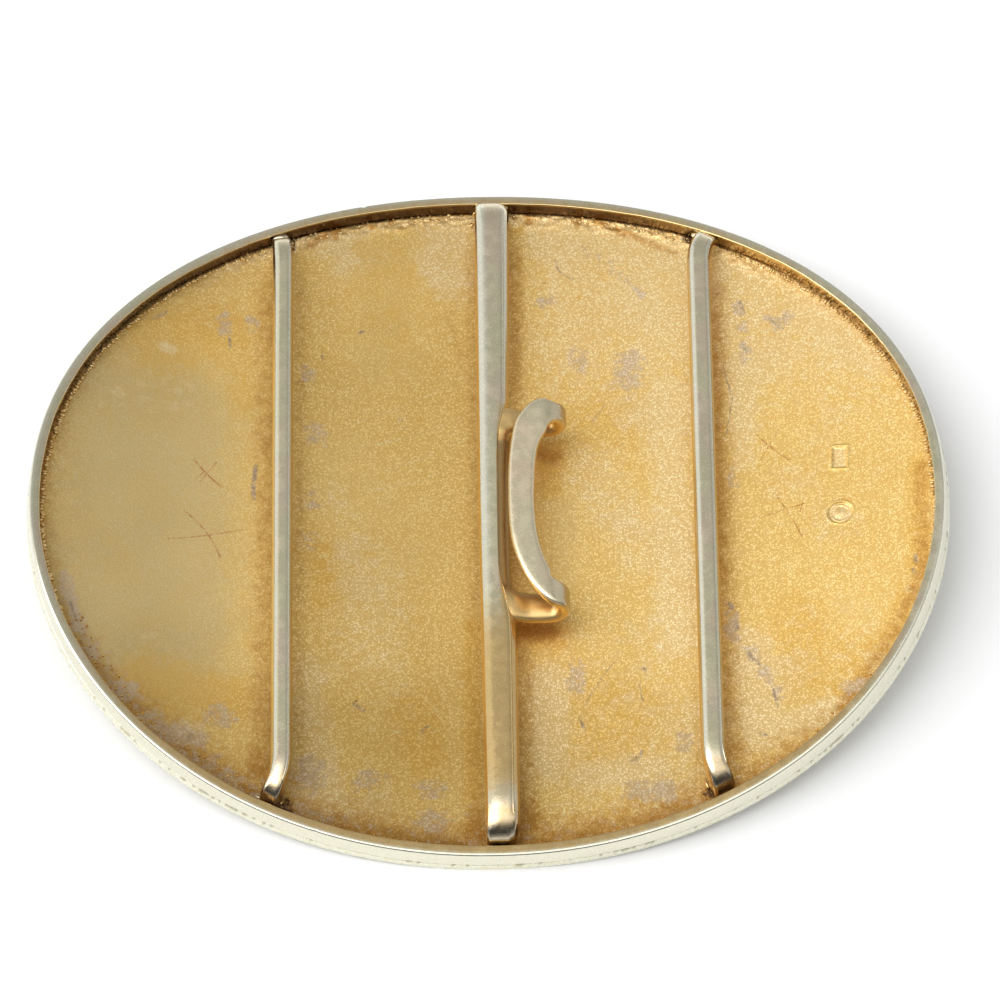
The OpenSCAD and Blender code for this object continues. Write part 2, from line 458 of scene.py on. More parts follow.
def matte_gilding(name, scratched):
    """Frosted gilding of the plate, with tarnish, grime, painted shade and scratches."""
    material, tree, shader = new_metal(name)
    grain = use_group(tree, fine_grain, Scale=PLATE_GRAIN)
    crumbs = clouds(tree, 1500.0, 1.0, 0.44, 0.6)
    drift = clouds(tree, 260.0, 2.0, 0.4, 0.62)
    gold = mixed(tree, ragged(tree, stored(tree, "olive"), 500.0, 1.0, 0.6, 0.15, 0.95), GOLD, OLIVE_GOLD)
    pale = stored(tree, "pale") if scratched else 0.8
    deep = times(tree, ragged(tree, stored(tree, "deep"), 900.0, 2.0, 1.3, 0.15, 1.1), 0.62)
    gold = mixed(tree, deep, gold, DEEP_GOLD)
    gold = mixed(tree, times(tree, ragged(tree, pale, 1100.0, 3.0, 1.6, 0.2, 0.9), 0.7), gold, CREAM_GOLD)
    gold = mixed(tree, times(tree, drift, 0.12), gold, DEEP_GOLD)
    gold = mixed(tree, ragged(tree, stored(tree, "brown"), 1300.0, 4.0, 1.2, 0.15, 1.05), gold, BROWN_GOLD)
    tarnish = ragged(tree, stored(tree, "mauve"), 1500.0, 5.0, 2.1, 0.36, 0.85)
    gold = mixed(tree, times(tree, tarnish, 0.72), gold, TARNISH)
    if scratched:
        broken = rise(tree, crumbs, 0, 1, 0.35, 1.0)
        for rows, tints in MARKS:
            marks = times(tree, scratches(tree, rows), broken)
            for strength, colour in tints:
                gold = mixed(tree, times(tree, marks, strength), gold, colour)
    # Grain tone, with painted glints in the light grains' bluish white
    speckled = mixed(tree, rise(tree, grain["Sparkle"], 0.15, 0.85), DARK_GRAIN, GRAIN_AND_PAINTED_GLINT)
    calm = times(tree, minus(tree, 1.0, stored(tree, "olive")), 0.6)
    gold = mixed(tree, plus(tree, calm, 0.4), gold, speckled, "MULTIPLY")
    # Painted shade: the plate is multiplied by a grey-brown tint where the mesh's value says
    gold = mixed(tree, stored(tree, "painted_shade"), gold, PAINTED_SHADE_TINT, "MULTIPLY")
    # Dirt, with painted shade in the crevices round the bars' feet
    grime_and_shade = ragged(tree, stored(tree, "dirt_and_shade"), 2300.0, 6.0, 1.5, 0.55, 0.95)
    gold = mixed(tree, grime_and_shade, gold, DIRT)
    skirt = stored(tree, "skirt")
    gold = mixed(tree, skirt, gold, mixed(tree, times(tree, crumbs, 0.5), SILVER, GREEN_SILVER))
    open_seam = times(tree, ragged(tree, stored(tree, "seam"), 2300.0, 7.0, 1.0, 0.4, 0.9), 0.6)
    gold = mixed(tree, open_seam, gold, SEAM_BROWN)
    tree.links.new(gold, shader.inputs["Base Color"])
    rough = plus(tree, rise(tree, grain["Sparkle"], 0.2, 0.8, 0.58, 0.42), times(tree, grime_and_shade, 0.25))
    tree.links.new(minus(tree, rough, times(tree, skirt, 0.28)), shader.inputs["Roughness"])
    height = minus(tree, grain["Height"], times(tree, skirt, grain["Height"]))
    add_relief(tree, shader, height, 0.35)
    return material


def worn_gilding(name, roughness, relief=0.12, tones=(MAUVE_SILVER, GREEN_SILVER), frosted=0.0):
    """Smooth silver-gilt that is rubbed to silver on top and stays gold where the mesh says so."""
    material, tree, shader = new_metal(name)
    grain = use_group(tree, fine_grain, Scale=FRAME_GRAIN)
    wide = clouds(tree, 170.0, 4.0, 0.38, 0.62)
    small = clouds(tree, 900.0, 7.0, 0.4, 0.62)
    silver = mixed(tree, wide, *tones)
    silver = mixed(tree, stored(tree, "bright"), silver, SILVER)
    gilt = ragged(tree, stored(tree, "gold"), 1100.0, 8.0, 0.7, 0.15, 0.95)
    metal = mixed(tree, gilt, silver, mixed(tree, stored(tree, "orange"), WORN_GOLD, ORANGE_GOLD))
    # Painted shade on the bars' near bends and on the hook, the dark brown of the rim's inner wall, and one
    # brown solder lump, where the mesh's shade value says
    metal = mixed(tree, stored(tree, "shade"), metal, mixed(tree, small, SHADE_BROWN, DIRT))
    metal = mixed(tree, 1.0, metal, rise(tree, grain["Sparkle"], 0.2, 0.8, 0.92, 1.03), "MULTIPLY")
    grime_and_shade = ragged(tree, stored(tree, "dirt_and_shade"), 2300.0, 9.0, 1.3, 0.5, 0.95)
    metal = mixed(tree, grime_and_shade, metal, DIRT)
    tree.links.new(metal, shader.inputs["Base Color"])
    rough = rise(tree, small, 0, 1, roughness, roughness + 0.07)
    if frosted:
        rough = plus(tree, rough, times(tree, gilt, frosted))
    tree.links.new(plus(tree, rough, times(tree, grime_and_shade, 0.35)), shader.inputs["Roughness"])
    add_relief(tree, shader, grain["Height"], relief)
    return material


plate_metal = matte_gilding("frosted gilding", True)
mark_metal = matte_gilding("raised gilding", False)
crumb_metal = worn_gilding("brown crumbs", 0.4, tones=(BROWN_GOLD, DEEP_GOLD))
rim_metal = worn_gilding("rim silver-gilt", 0.16, relief=0.08)
bar_metal = worn_gilding("bar silver-gilt", 0.2)
hook_metal = worn_gilding("hook silver-gilt", 0.26, relief=0.1, tones=(HOOK_WARM, HOOK_COOL), frosted=0.1)


# Rim

def seam_dashes(points):
    """Share of open, dirty seam round the outside, in short uneven dashes."""
    flat = np.column_stack([points, np.zeros(len(points))])
    return soft_step(0.0, 0.3, ripple(flat, 0.5, 9.0) + 0.6 * ripple(flat, 8.0, 5.0) - 0.08)


def make_rim():
    """Rim strip with worn edges, its wall leaning and its top widening a little from place to place."""
    points, normals = oval_outline(AROUND)
    flat = np.column_stack([points, np.zeros(AROUND)])
    angle = clock(points)
    near_side = arc_share(angle, 185, 355, 25)
    lean = 0.03 + 0.03 * near_side - 0.2 * arc_share(angle, 160, 202, 22)
    wider = 0.04 + 0.02 * arc_share(angle, 70, 150, 20) + 0.12 * arc_share(angle, 235, 305, 25)
    wander = 0.03 * ripple(flat, 6.0) + 0.02 * ripple(flat, 1.5, 2.0)
    nicks = 0.1 * soft_step(0.55, 0.8, ripple(flat, 0.9, 3.0))
    dashes = seam_dashes(points)
    top_gold = 0.15 + 0.4 * arc_share(angle, 45, 125, 25) + 0.75 * arc_share(angle, 215, 330, 25)
    far_shade = 0.45 + 0.5 * arc_share(angle, 62, 160, 15)
    corners = [(0, RIM_FOOT), (0, RIM_TOP), (RIM_WIDTH, RIM_TOP), (RIM_WIDTH, RIM_FOOT)]
    profile = rounded_profile(corners, [0.02, 0.22, 0.1, 0.02], 8)
    rings = []
    marks = {name: [] for name in ("dirt_and_shade", "gold", "bright", "shade")}
    for inward, height in split_long(profile, 0.2):
        outer = soft_step(0.5, 0.1, inward)
        inner = 1 - outer
        rise_share = (height - RIM_FOOT) / (RIM_TOP - RIM_FOOT)
        shift = lean * rise_share + inner * (wider + 1.5 * wander)
        shift += nicks * outer * soft_step(0.7, 0.95, rise_share)
        foot = soft_step(0.15, 0.0, rise_share)
        rings.append(wall(points, normals, inward + shift + 0.03 * dashes * foot * outer, height))
        shaded = soft_step(0.8, 0.84, inward) * soft_step(RIM_TOP - 0.02, RIM_TOP - 0.16, height)
        on_top = soft_step(0.1, 0.34, inward) * soft_step(RIM_TOP - 0.12, RIM_TOP - 0.02, height)
        inner_edge = soft_step(RIM_WIDTH - 0.16, RIM_WIDTH - 0.06, inward)
        inner_edge = inner_edge * soft_step(RIM_TOP - 0.3, RIM_TOP - 0.1, height)
        marks["dirt_and_shade"].append(0.32 * dashes * outer * soft_step(0.05, 0.0, rise_share) + 0.3 * shaded)
        marks["shade"].append(shaded * far_shade)
        marks["gold"].append(on_top * top_gold + 0.3 * inner_edge + 0.9 * shaded)
        marks["bright"].append(np.full(AROUND, 0.8 * outer))
    marks = {name: np.concatenate(values) for name, values in marks.items()}
    faces = grid_faces(len(rings), AROUND, close_rows=True)
    make_piece("rim", np.concatenate(rings), faces, rim_metal, "pale_gilt", "frame", **marks)


# Face plate

# Middles of the two blank punch marks
BOX_MARK = (30.7, 4.6)
ROUND_MARK = (30.55, -0.95)
BOX_MARK_HALF = (0.68, 1.14)
ROUND_MARK_RADIUS = 1.12

# Stained places of the plate, each a streak between two ends, with its half width and strength; some are
# painted shade and painted shadow
STAINS_AND_SHADE = {
    "olive": [
        ((-30, 9), (-30, -12), 7.5, 0.9), ((-9, 27), (-9, 17), 3.0, 0.45),
        ((6.5, 1.0), (6.5, -5), 1.8, 0.4), ((30.4, -10), (32.4, -11), 1.3, 0.35),
        ((-13, 6), (-8, -2), 4.0, 0.3), ((-24.5, 6), (-24.5, -10), 3.0, 0.25),
    ],
    "deep": [
        ((-29, 17.6), (-25, 18.2), 3.4, 0.75), ((-29.5, -16.6), (-22.8, -17.6), 2.6, 0.85),
        ((-12, 31), (-4, 31.6), 0.9, 0.8), ((-9, 27), (-8.5, 18), 2.8, 0.45),
        ((-14.5, -3), (-14.5, -8), 1.3, 0.6), ((-6.5, -18.5), (-5.5, -23), 2.2, 0.7),
        ((-1.5, -10), (-1.5, -30), 0.8, 0.9), ((9, 25), (9, 9), 4.0, 0.6), ((3, 30.5), (6, 31), 0.6, 0.9),
        # Painted shadow: the two streaks on the next line lie under the hook's upper curl and lower arm
        ((5.6, 7.5), (5.4, 3.6), 1.2, 1.0), ((2.9, -11.2), (5.6, -11.3), 1.3, 1.0),
        ((10, -19.5), (10.1, -19.4), 4.4, 0.85), ((25, 19), (25, 17), 1.8, 0.6),
        ((26, -12), (29.5, -16), 3.4, 0.75), ((37.4, 3), (36.9, -8), 0.9, 1.0),
        ((36.9, -8), (34.4, -13), 0.9, 1.0), ((34.4, -13), (30, -19.6), 1.0, 1.0),
        ((-22.5, 20), (-21.5, 12), 1.4, 0.6),
    ],
    "pale": [
        ((-3.6, 29.6), (-3.3, 25.4), 2.3, 0.75), ((-14.5, 29), (-13, 26.6), 1.5, 0.6),
        ((-10, -7), (-10, -13), 3.4, 0.45), ((-15.3, -15), (-14.3, -29), 1.7, 0.6),
        ((5, 29.6), (14, 28.3), 1.4, 0.7), ((16, 12), (16, -12), 1.8, 0.6),
        ((5, -15.5), (5, -23.5), 1.4, 0.8), ((8, -25), (13.5, -24.6), 1.1, 0.6),
        ((22.3, -13), (23, -21.5), 1.4, 0.8), ((24, -21.6), (29.5, -20), 1.0, 0.6),
        ((-26.5, -21), (-25, -21), 0.8, 0.8), ((-28.8, 17.2), (-28, 16.8), 0.5, 0.8),
        ((-13.5, 3), (-12, -3), 1.5, 0.4), ((22.6, 15), (22.4, 5), 1.0, 0.5),
        ((29, 20), (34, 14), 1.5, 0.35), ((9, 5), (14, -4), 2.5, 0.4), ((13.5, 24), (15.5, 20), 1.0, 0.5),
    ],
    "brown": [
        # The streaks on the first four lines here, along both sides of the strap bars, are partly brown
        # tarnish and partly painted shade
        ((-19.5, 24), (-19.3, -24), 1.3, 0.75), ((-16.6, 25), (-16.3, -25), 0.8, 0.6),
        ((-1.3, 28), (-1.2, -30), 0.8, 0.6), ((2.6, 28), (2.6, 13), 0.8, 0.85),
        ((3, -13), (3.2, -29), 1.0, 0.7), ((17.6, 24), (17.6, -24), 0.4, 0.5),
        ((20.5, 23), (20.5, -23), 1.2, 0.75), ((20.3, 20), (20.3, -6), 0.9, 0.95),
        ((-3.5, 22), (-2.2, 16), 0.5, 0.6), ((-16, 28.5), (-13, 31), 0.4, 0.7),
        ((10, 31), (17, 27.2), 0.35, 0.8), ((37.6, 3), (37.1, -8), 0.6, 0.7),
        ((37, -8), (34.6, -13), 0.6, 0.7), ((34.6, -13), (30, -20), 0.6, 0.7),
        # Painted shadow under the hook's lower arm and upper curl
        ((2.8, -10.7), (5.2, -10.9), 1.0, 1.5), ((4.8, 6.9), (5.8, 6.5), 0.9, 1.1),
    ],
    "mauve": [
        ((-23.3, 21), (-23.3, 19), 0.5, 0.75), ((-21, 20.3), (-21, 19.7), 0.5, 0.7),
        ((-36.5, -7), (-35, -12), 0.35, 0.7), ((-31.4, -17.5), (-30.6, -17.5), 0.4, 0.7),
        ((-23.4, -19.2), (-22.6, -19.8), 0.8, 0.75), ((-16, 15.4), (-15.8, 14.6), 0.5, 0.7),
        ((-15.3, 9.5), (-15, 8.5), 0.7, 0.65), ((-15.5, 2.4), (-15.5, 1.6), 0.6, 0.6),
        ((-15.6, -1.6), (-15.4, -2.4), 0.6, 0.6), ((-15, -24), (-15, -25), 0.9, 0.7),
        ((-11, -25), (-10, -25), 0.7, 0.7), ((-5.4, -26), (-4.6, -26), 0.7, 0.7),
        ((-5.2, -29), (-4.8, -29), 0.7, 0.6), ((5.2, 22.8), (5.8, 22.8), 0.5, 0.75),
        ((8, 17), (8, 16), 0.7, 0.7), ((12.6, 16), (12.4, 14), 1.0, 0.75),
        ((9, 28.5), (14, 23), 0.35, 0.65), ((7.6, -14.7), (7.4, -16.3), 0.6, 0.8),
        ((12, -26.4), (15, -26.6), 0.6, 0.7), ((16.5, -21.6), (16.5, -22.4), 0.6, 0.7),
        ((22.4, 21.4), (22.4, 20.6), 0.4, 0.8), ((22.7, 19.3), (22.7, 18.7), 0.35, 0.8),
        ((22.8, 17.2), (22.8, 15.4), 0.45, 0.75), ((25.1, 19.5), (25.5, 19.1), 0.4, 0.8),
        ((26, 18.6), (27, 19.9), 0.45, 0.75), ((21.5, 4), (21.5, 3), 0.5, 0.7),
        ((21, -10), (21, -12), 0.5, 0.75), ((22.3, -13.6), (22.7, -14.4), 0.5, 0.75),
        ((23.3, -15.7), (23.7, -16.3), 0.5, 0.75), ((24.4, -17.6), (24.6, -18.4), 0.4, 0.7),
        ((30.4, -18), (31.6, -18), 0.5, 0.7), ((-27.5, -21.3), (-24.5, -21.7), 0.5, 0.6),
    ],
}
# How much further a streak of tarnish reaches than its half width
TARNISH_SPREAD = 1.5
# Pits in the plate: x, y, radius
PITS = [
    (-11.5, -17.7, 0.32), (-5.3, -20.3, 0.3), (-14.9, -27.2, 0.26), (12.4, -23.2, 0.34),
    (13.3, -15.0, 0.28), (13.0, -16.5, 0.22), (5.7, 28.8, 0.22), (-14.4, 17.6, 0.2), (-6.0, 18.4, 0.14),
    (20.8, -24.2, 0.2), (29.6, -19.6, 0.16), (-24.7, -6.4, 0.14), (-23.8, -7.2, 0.12), (-24.6, -7.6, 0.1),
    (5.2, 24.8, 0.26), (3.8, -13.6, 0.12), (36.8, -6.5, 0.24), (36.6, -7.5, 0.22), (-2.6, -31.0, 0.2),
    (24.6, 22.0, 0.18), (36.2, -9.2, 0.14), (35.2, -11.4, 0.13), (33.4, -14.4, 0.14), (-22.0, 18.0, 0.14),
]


def box_edge(x, y):
    """Distance outside the box mark's rounded outline, less than zero inside it."""
    turn = math.radians(-3)
    u = (x - BOX_MARK[0]) * math.cos(turn) + (y - BOX_MARK[1]) * math.sin(turn)
    v = (y - BOX_MARK[1]) * math.cos(turn) - (x - BOX_MARK[0]) * math.sin(turn)
    corner = 0.14
    reach_u = np.abs(u) - BOX_MARK_HALF[0] + corner
    reach_v = np.abs(v) - BOX_MARK_HALF[1] + corner
    outside = np.hypot(np.maximum(reach_u, 0), np.maximum(reach_v, 0))
    return outside + np.minimum(np.maximum(reach_u, reach_v), 0) - corner


def round_edge(x, y):
    """Distance outside the round mark's outline, less than zero inside it."""
    return np.hypot(x - ROUND_MARK[0], y - ROUND_MARK[1]) - ROUND_MARK_RADIUS


def mark_lift(points):
    """Lift of the plate's back round and inside the two blank punch marks."""
    x, y = points[:, 0], points[:, 1]
    box = box_edge(x, y)
    disc = round_edge(x, y)
    near = (box < 1) | (disc < 1)
    worn = np.zeros(len(points))
    worn[near] = ripple(points[near], 0.6) * 0.012
    lift = 0.06 * ridge(box, 0.12) - 0.07 * soft_step(0.02, -0.2, box) + worn * soft_step(-0.1, -0.3, box)
    lift += 0.04 * ridge(disc, 0.12) - 0.13 * soft_step(0.02, -0.16, disc)
    lift += 0.05 * ridge(disc + 0.32, 0.09) + worn * soft_step(-0.4, -0.6, disc)
    return lift + 0.05 * soft_step(-0.35, -1.0, disc)


def plate_lift(points, inset, angle):
    """Unevenness of the plate's back: a gentle swell, a crumbly crust along the rim, pits and marks."""
    lift = 0.03 * ripple(points, 9.0)
    far_share = arc_share(angle, 50, 128, 10)
    rough_share = 0.35 + 0.65 * np.maximum(far_share, 0.8 * arc_share(angle, 236, 300, 10))
    near = inset < 2.2
    crust = np.zeros(len(points))
    crust[near] = 0.55 + ripple(points[near], 0.45) * 0.7 + ripple(points[near], 0.2, 4.0) * 0.5
    band = soft_step(0.06, 0.22, inset) * soft_step(2.1, 0.3, inset)
    lift += 0.17 * rough_share * band * crust
    lift += 0.06 * far_share * soft_step(0.75, 0.15, inset) * (0.5 + crust)
    for x, y, radius in PITS:
        lift -= 0.12 * ridge(np.hypot(points[:, 0] - x, points[:, 1] - y), radius / 1.3)
    return lift + mark_lift(points)


def streak_share(points, start, end, half_width):
    """Soft share from 1 on a streak between two places to 0 well outside it."""
    start = np.array(start, float)
    line = np.array(end, float) - start
    offset = points[:, :2] - start
    share = np.clip(offset @ line / (line @ line), 0, 1)
    gap = np.linalg.norm(offset - share[:, None] * line, axis=1)
    return soft_step(1.7, 0.3, gap / half_width)


def foot_gap(points):
    """Distance in plan from the nearest foot of a strap bar."""
    gaps = [np.hypot(points[:, 0] - x, points[:, 1] - y - math.copysign(2.4, y))
            for bar in (LEFT_BAR, CENTRE_BAR, RIGHT_BAR) for x, y in bar]
    return np.min(gaps, 0)


def plate_stains_and_shade(points, inset, angle):
    """Stains, painted shade and painted shadow that the plate's material reads at each point."""
    x, y = points[:, 0], points[:, 1]
    swell = ripple(points, 5.0, 2.0)
    far_share = arc_share(angle, 50, 128, 10)
    near_share = arc_share(angle, 210, 315, 18)
    stains_and_shade = {}
    for name, rows in STAINS_AND_SHADE.items():
        total = np.zeros(len(points))
        for start, end, half_width, strength in rows:
            reach = half_width * (TARNISH_SPREAD if name == "mauve" else 1)
            total = np.maximum(total, strength * streak_share(points, start, end, reach))
        stains_and_shade[name] = total
    second_bay = soft_step(-22, -15, x) * soft_step(3, -1, x)
    near_end = soft_step(-9, -28, y) * (1 - 0.35 * soft_step(2, 14, x))
    left_wall = arc_share(angle, 155, 215, 12)
    patches = soft_step(0.25, 0.6, ripple(points, 1.1, 3.0))
    flecks = soft_step(0.2, 0.6, ripple(points, 2.2, 8.0))
    stains_and_shade["olive"] += 0.2 * soft_step(-10, -30, x)
    stains_and_shade["deep"] += 0.18 + 0.3 * swell
    stains_and_shade["pale"] += 0.08 + 0.25 * soft_step(0.1, 0.5, swell)
    stains_and_shade["pale"] += soft_step(1, 7, x) * (0.14 + 0.5 * soft_step(4, 20, y) + 0.2 * soft_step(-6, -16, y))
    stains_and_shade["pale"] += 0.75 * far_share * soft_step(2.4, 0.3, inset)
    stains_and_shade["pale"] += 0.3 * near_share * second_bay * soft_step(9, 3, inset)
    # Painted shade over the plate's near end, its left end, the second bay and the near-left corner
    stains_and_shade["painted_shade"] = 0.7 * near_end + 0.12 * swell + 0.25 * soft_step(-22, -30, x)
    stains_and_shade["painted_shade"] += second_bay * (0.2 + 0.2 * soft_step(25, 14, y) - 0.22 * soft_step(-20, -27, y))
    stains_and_shade["painted_shade"] += 0.16 * soft_step(-20, -24, x) * soft_step(-6, -14, y)
    stains_and_shade["painted_shade"] += 0.5 * arc_share(angle, 185, 262, 15) * soft_step(2.6, 0.4, inset)
    stains_and_shade["brown"] = 0.65 * stains_and_shade["brown"] + 0.5 * far_share * patches * soft_step(2.4, 0.8, inset)
    stains_and_shade["brown"] += 0.9 * np.exp(-inset / 1.1) * left_wall + 0.55 * np.exp(-inset) * (1 - left_wall)
    stains_and_shade["brown"] += 0.75 * near_share * soft_step(6.5, 0.5, inset)
    stains_and_shade["mauve"] += 0.36 * near_share * soft_step(6, 1.5, inset) + 0.2 * flecks
    stains_and_shade["mauve"] += 0.3 * arc_share(angle, 190, 250, 15) * soft_step(3.5, 1.0, inset)
    foot = foot_gap(points)
    # Dirt and painted shade: darker in the crevices round the bars' feet; dirt along the foot of the rim, in
    # the pits and round the punch marks
    dirt_and_shade = 0.75 * soft_step(1.7, 0.7, foot)
    dirt_and_shade += 0.3 * soft_step(1.3, 0.1, inset) + 0.3 * soft_step(0.35, 0.05, inset)
    dirt_and_shade += 0.3 * arc_share(angle, 195, 262, 12) * soft_step(2.2, 0.2, inset)
    for px, py, radius in PITS:
        dirt_and_shade += 0.8 * ridge(np.hypot(x - px, y - py), radius)
    box = box_edge(x, y)
    disc = round_edge(x, y)
    dirt_and_shade += 0.52 * ridge(box + 0.1, 0.1) + 0.45 * ridge(disc + 0.08, 0.08)
    stains_and_shade["pale"] += 0.5 * (soft_step(-0.1, -0.2, box) + soft_step(-0.1, -0.25, disc))
    stains_and_shade["dirt_and_shade"] = dirt_and_shade
    return stains_and_shade


def refine(piece_mesh, middle, reach, cuts):
    """Finer faces on the upper side of a mesh round a place."""
    shape = bmesh.new()
    shape.from_mesh(piece_mesh)
    edges = set()
    for face in shape.faces:
        spot = face.calc_center_median() / MM
        if face.normal.z > 0.5 and math.hypot(spot.x - middle[0], spot.y - middle[1]) < reach:
            edges.update(face.edges)
    bmesh.ops.subdivide_edges(shape, edges=list(edges), cuts=cuts, use_grid_fill=True)
    shape.to_mesh(piece_mesh)
    shape.free()


# Rings of the plate: shares of the way out on the front, distances in from the rim on the back, and the
# rings from there to the middle
FRONT_RINGS = (0.03, 0.15, 0.3, 0.5, 0.7, 0.85, 0.95)
BACK_RINGS = (0, 0.08, 0.16, 0.25, 0.35, 0.47, 0.6, 0.75, 0.92, 1.1,
              1.28, 1.46, 1.7, 2, 2.5, 3.1, 3.8, 4.6, 5.5)
INNER_RINGS = 44


def make_plate():
    """Bent plate with a plain front, a rounded edge and an uneven back with two blank punch marks."""
    points, normals = oval_outline(AROUND)
    edge = rounded_profile([(3, 0), (0, 0), (0, PLATE), (3, PLATE)], [0.01, 0.05, 0.04, 0.01])
    edge = [(inward, height) for inward, height in edge if inward < 1.5]
    rings = []
    for share in FRONT_RINGS:
        plan = points * share
        rings.append(np.column_stack([plan, FRONT_RADIUS - np.sqrt(FRONT_RADIUS ** 2 - plan[:, 0] ** 2)]))
    rings += [wall(points, normals, inward, height) for inward, height in edge]
    outside = len(rings)
    foot = wall(points, normals, RIM_WIDTH, PLATE)[:, :2]
    plans = [foot - inset * normals for inset in BACK_RINGS]
    plans += [plans[-1] * share for share in np.linspace(1, 0, INNER_RINGS + 2)[1:-1]]
    rings += [np.column_stack([plan, plate_back(plan[:, 0])]) for plan in plans]
    faces = grid_faces(len(rings), AROUND)
    verts = np.vstack(rings + [[[0, 0, 0], [0, 0, plate_back(0.0)]]])
    last = (len(rings) - 1) * AROUND
    for c in range(AROUND):
        faces.append((len(verts) - 2, (c + 1) % AROUND, c))
        faces.append((len(verts) - 1, last + c, last + (c + 1) % AROUND))
    mesh = bpy.data.meshes.new("plate blank")
    mesh.from_pydata((verts * MM).tolist(), [], faces)
    skirt = np.zeros(len(verts))
    skirt[:outside * AROUND] = 1
    skirt[-2] = 1
    store(mesh, "skirt", skirt)
    seam = np.zeros(len(verts))
    for ring, (inward, height) in enumerate(edge, len(FRONT_RINGS)):
        share = float(soft_step(PLATE - 0.16, PLATE - 0.05, height))
        seam[ring * AROUND:(ring + 1) * AROUND] = share * (0.25 + 0.75 * seam_dashes(points))
    store(mesh, "seam", seam)
    refine(mesh, BOX_MARK, 1.9, 5)
    refine(mesh, ROUND_MARK, 1.7, 5)
    count = len(mesh.vertices)
    flat = np.empty(count * 3, dtype=np.float32)
    mesh.vertices.foreach_get("co", flat)
    verts = flat.reshape(-1, 3).astype(float) / MM
    skirt = np.empty(count, dtype=np.float32)
    mesh.attributes["skirt"].data.foreach_get("value", skirt)
    top = np.nonzero(skirt < 0.5)[0]
    inset = wall_gap(verts[top], foot)
    angle = clock(verts[top])
    stains_and_shade = {}
    for name, values in plate_stains_and_shade(verts[top], inset, angle).items():
        stains_and_shade[name] = np.zeros(count)
        stains_and_shade[name][top] = np.clip(values, 0, 1)
    lift = plate_lift(verts[top], inset, angle) * soft_step(0, 0.1, inset)
    verts[top, 2] = plate_back(verts[top, 0]) + lift
    mesh.vertices.foreach_set("co", (verts * MM).astype(np.float32).ravel())
    for name, values in stains_and_shade.items():
        store(mesh, name, values)
    mesh.shade_smooth()
    finish_piece("face_plate_detail", mesh, plate_metal, "face_plate")


def wall_gap(points, foot):
    """Distance in plan from the inside of the rim."""
    angle = np.arctan2(foot[:, 1], foot[:, 0])
    order = np.argsort(angle)
    reach = np.hypot(foot[:, 0], foot[:, 1])[order]
    turn = np.arctan2(points[:, 1], points[:, 0])
    limit = np.interp(turn, angle[order], reach, period=2 * math.pi)
    x, y = points[:, 0], points[:, 1]
    slope = np.interp(turn + 0.01, angle[order], reach, period=2 * math.pi) - limit
    square = 1 / np.sqrt(1 + np.square(slope / 0.01 / limit))
    return np.maximum(limit - np.hypot(x, y), 0) * square


# Strap bars

# Half widths and thicknesses of the bars
LEFT_BAR_HALF = 0.875
RIGHT_BAR_HALF = 1.0
CENTRE_BAR_HALF = 1.425
SIDE_BAR_THICKNESS = 1.2
CENTRE_BAR_THICKNESS = 1.5
# Steps along half a bar and round its bend, whose soft start makes it longer than a plain quarter turn
STRAIGHT_STEPS = 22
BEND_STEPS = 26
BEND_STRETCH = 1.25


def bar_section(half, thickness, corners, radii):
    """Section of a bar: across, as a share of its half width, and depth below its top."""
    outline = [(-half, -thickness)] + corners + [(half, -thickness)]
    return [(a / half, d) for a, d in rounded_profile(outline, [0.1] + radii + [0.1], 4)]


def side_sections(half):
    """A side bar's worn section, with a bevel at either side, and the plain section of its feet."""
    edge = half - LEFT_BAR_HALF
    worn = [(-half, -0.58), (-0.62 - edge, -0.18), (-0.27 - edge, -0.01),
            (0.45 + edge, 0), (0.72 + edge, -0.15), (half, -0.5)]
    plain = [(-half, -0.34), (-0.8 - edge, -0.12), (-0.6 - edge, 0),
             (0.6 + edge, 0), (0.8 + edge, -0.12), (half, -0.34)]
    return (bar_section(half, SIDE_BAR_THICKNESS, worn, [0.12, 0.35, 0.8, 0.9, 0.25, 0.12]),
            bar_section(half, SIDE_BAR_THICKNESS, plain, [0.12, 0.15, 0.25, 0.25, 0.15, 0.12]))


def centre_sections():
    """The same for the centre bar, whose left side is bevelled and whose right one is round."""
    half = CENTRE_BAR_HALF
    worn = [(-half, -0.66), (-1.24, -0.34), (-0.95, -0.17), (-0.5, 0),
            (0.62, 0), (1.0, -0.12), (1.27, -0.34), (half, -0.75)]
    plain = [(-half, -0.34), (-1.36, -0.16), (-1.2, -0.03), (-0.9, 0),
             (0.45, 0), (0.95, -0.2), (1.27, -0.55), (half, -0.95)]
    return (bar_section(half, CENTRE_BAR_THICKNESS, worn, [0.06, 0.25, 0.6, 2.2, 2.0, 0.5, 0.25, 0.1]),
            bar_section(half, CENTRE_BAR_THICKNESS, plain, [0.08, 0.1, 0.1, 0.12, 0.4, 0.5, 0.4, 0.2]))


def bend_dip(share):
    """Dip of a bar along its bend, which starts gently and then follows an arc."""
    gentle = 0.4
    eased = share * share / (2 * gentle) if share < gentle else share - gentle / 2
    return math.pi / 2 * eased / (1 - gentle / 2)


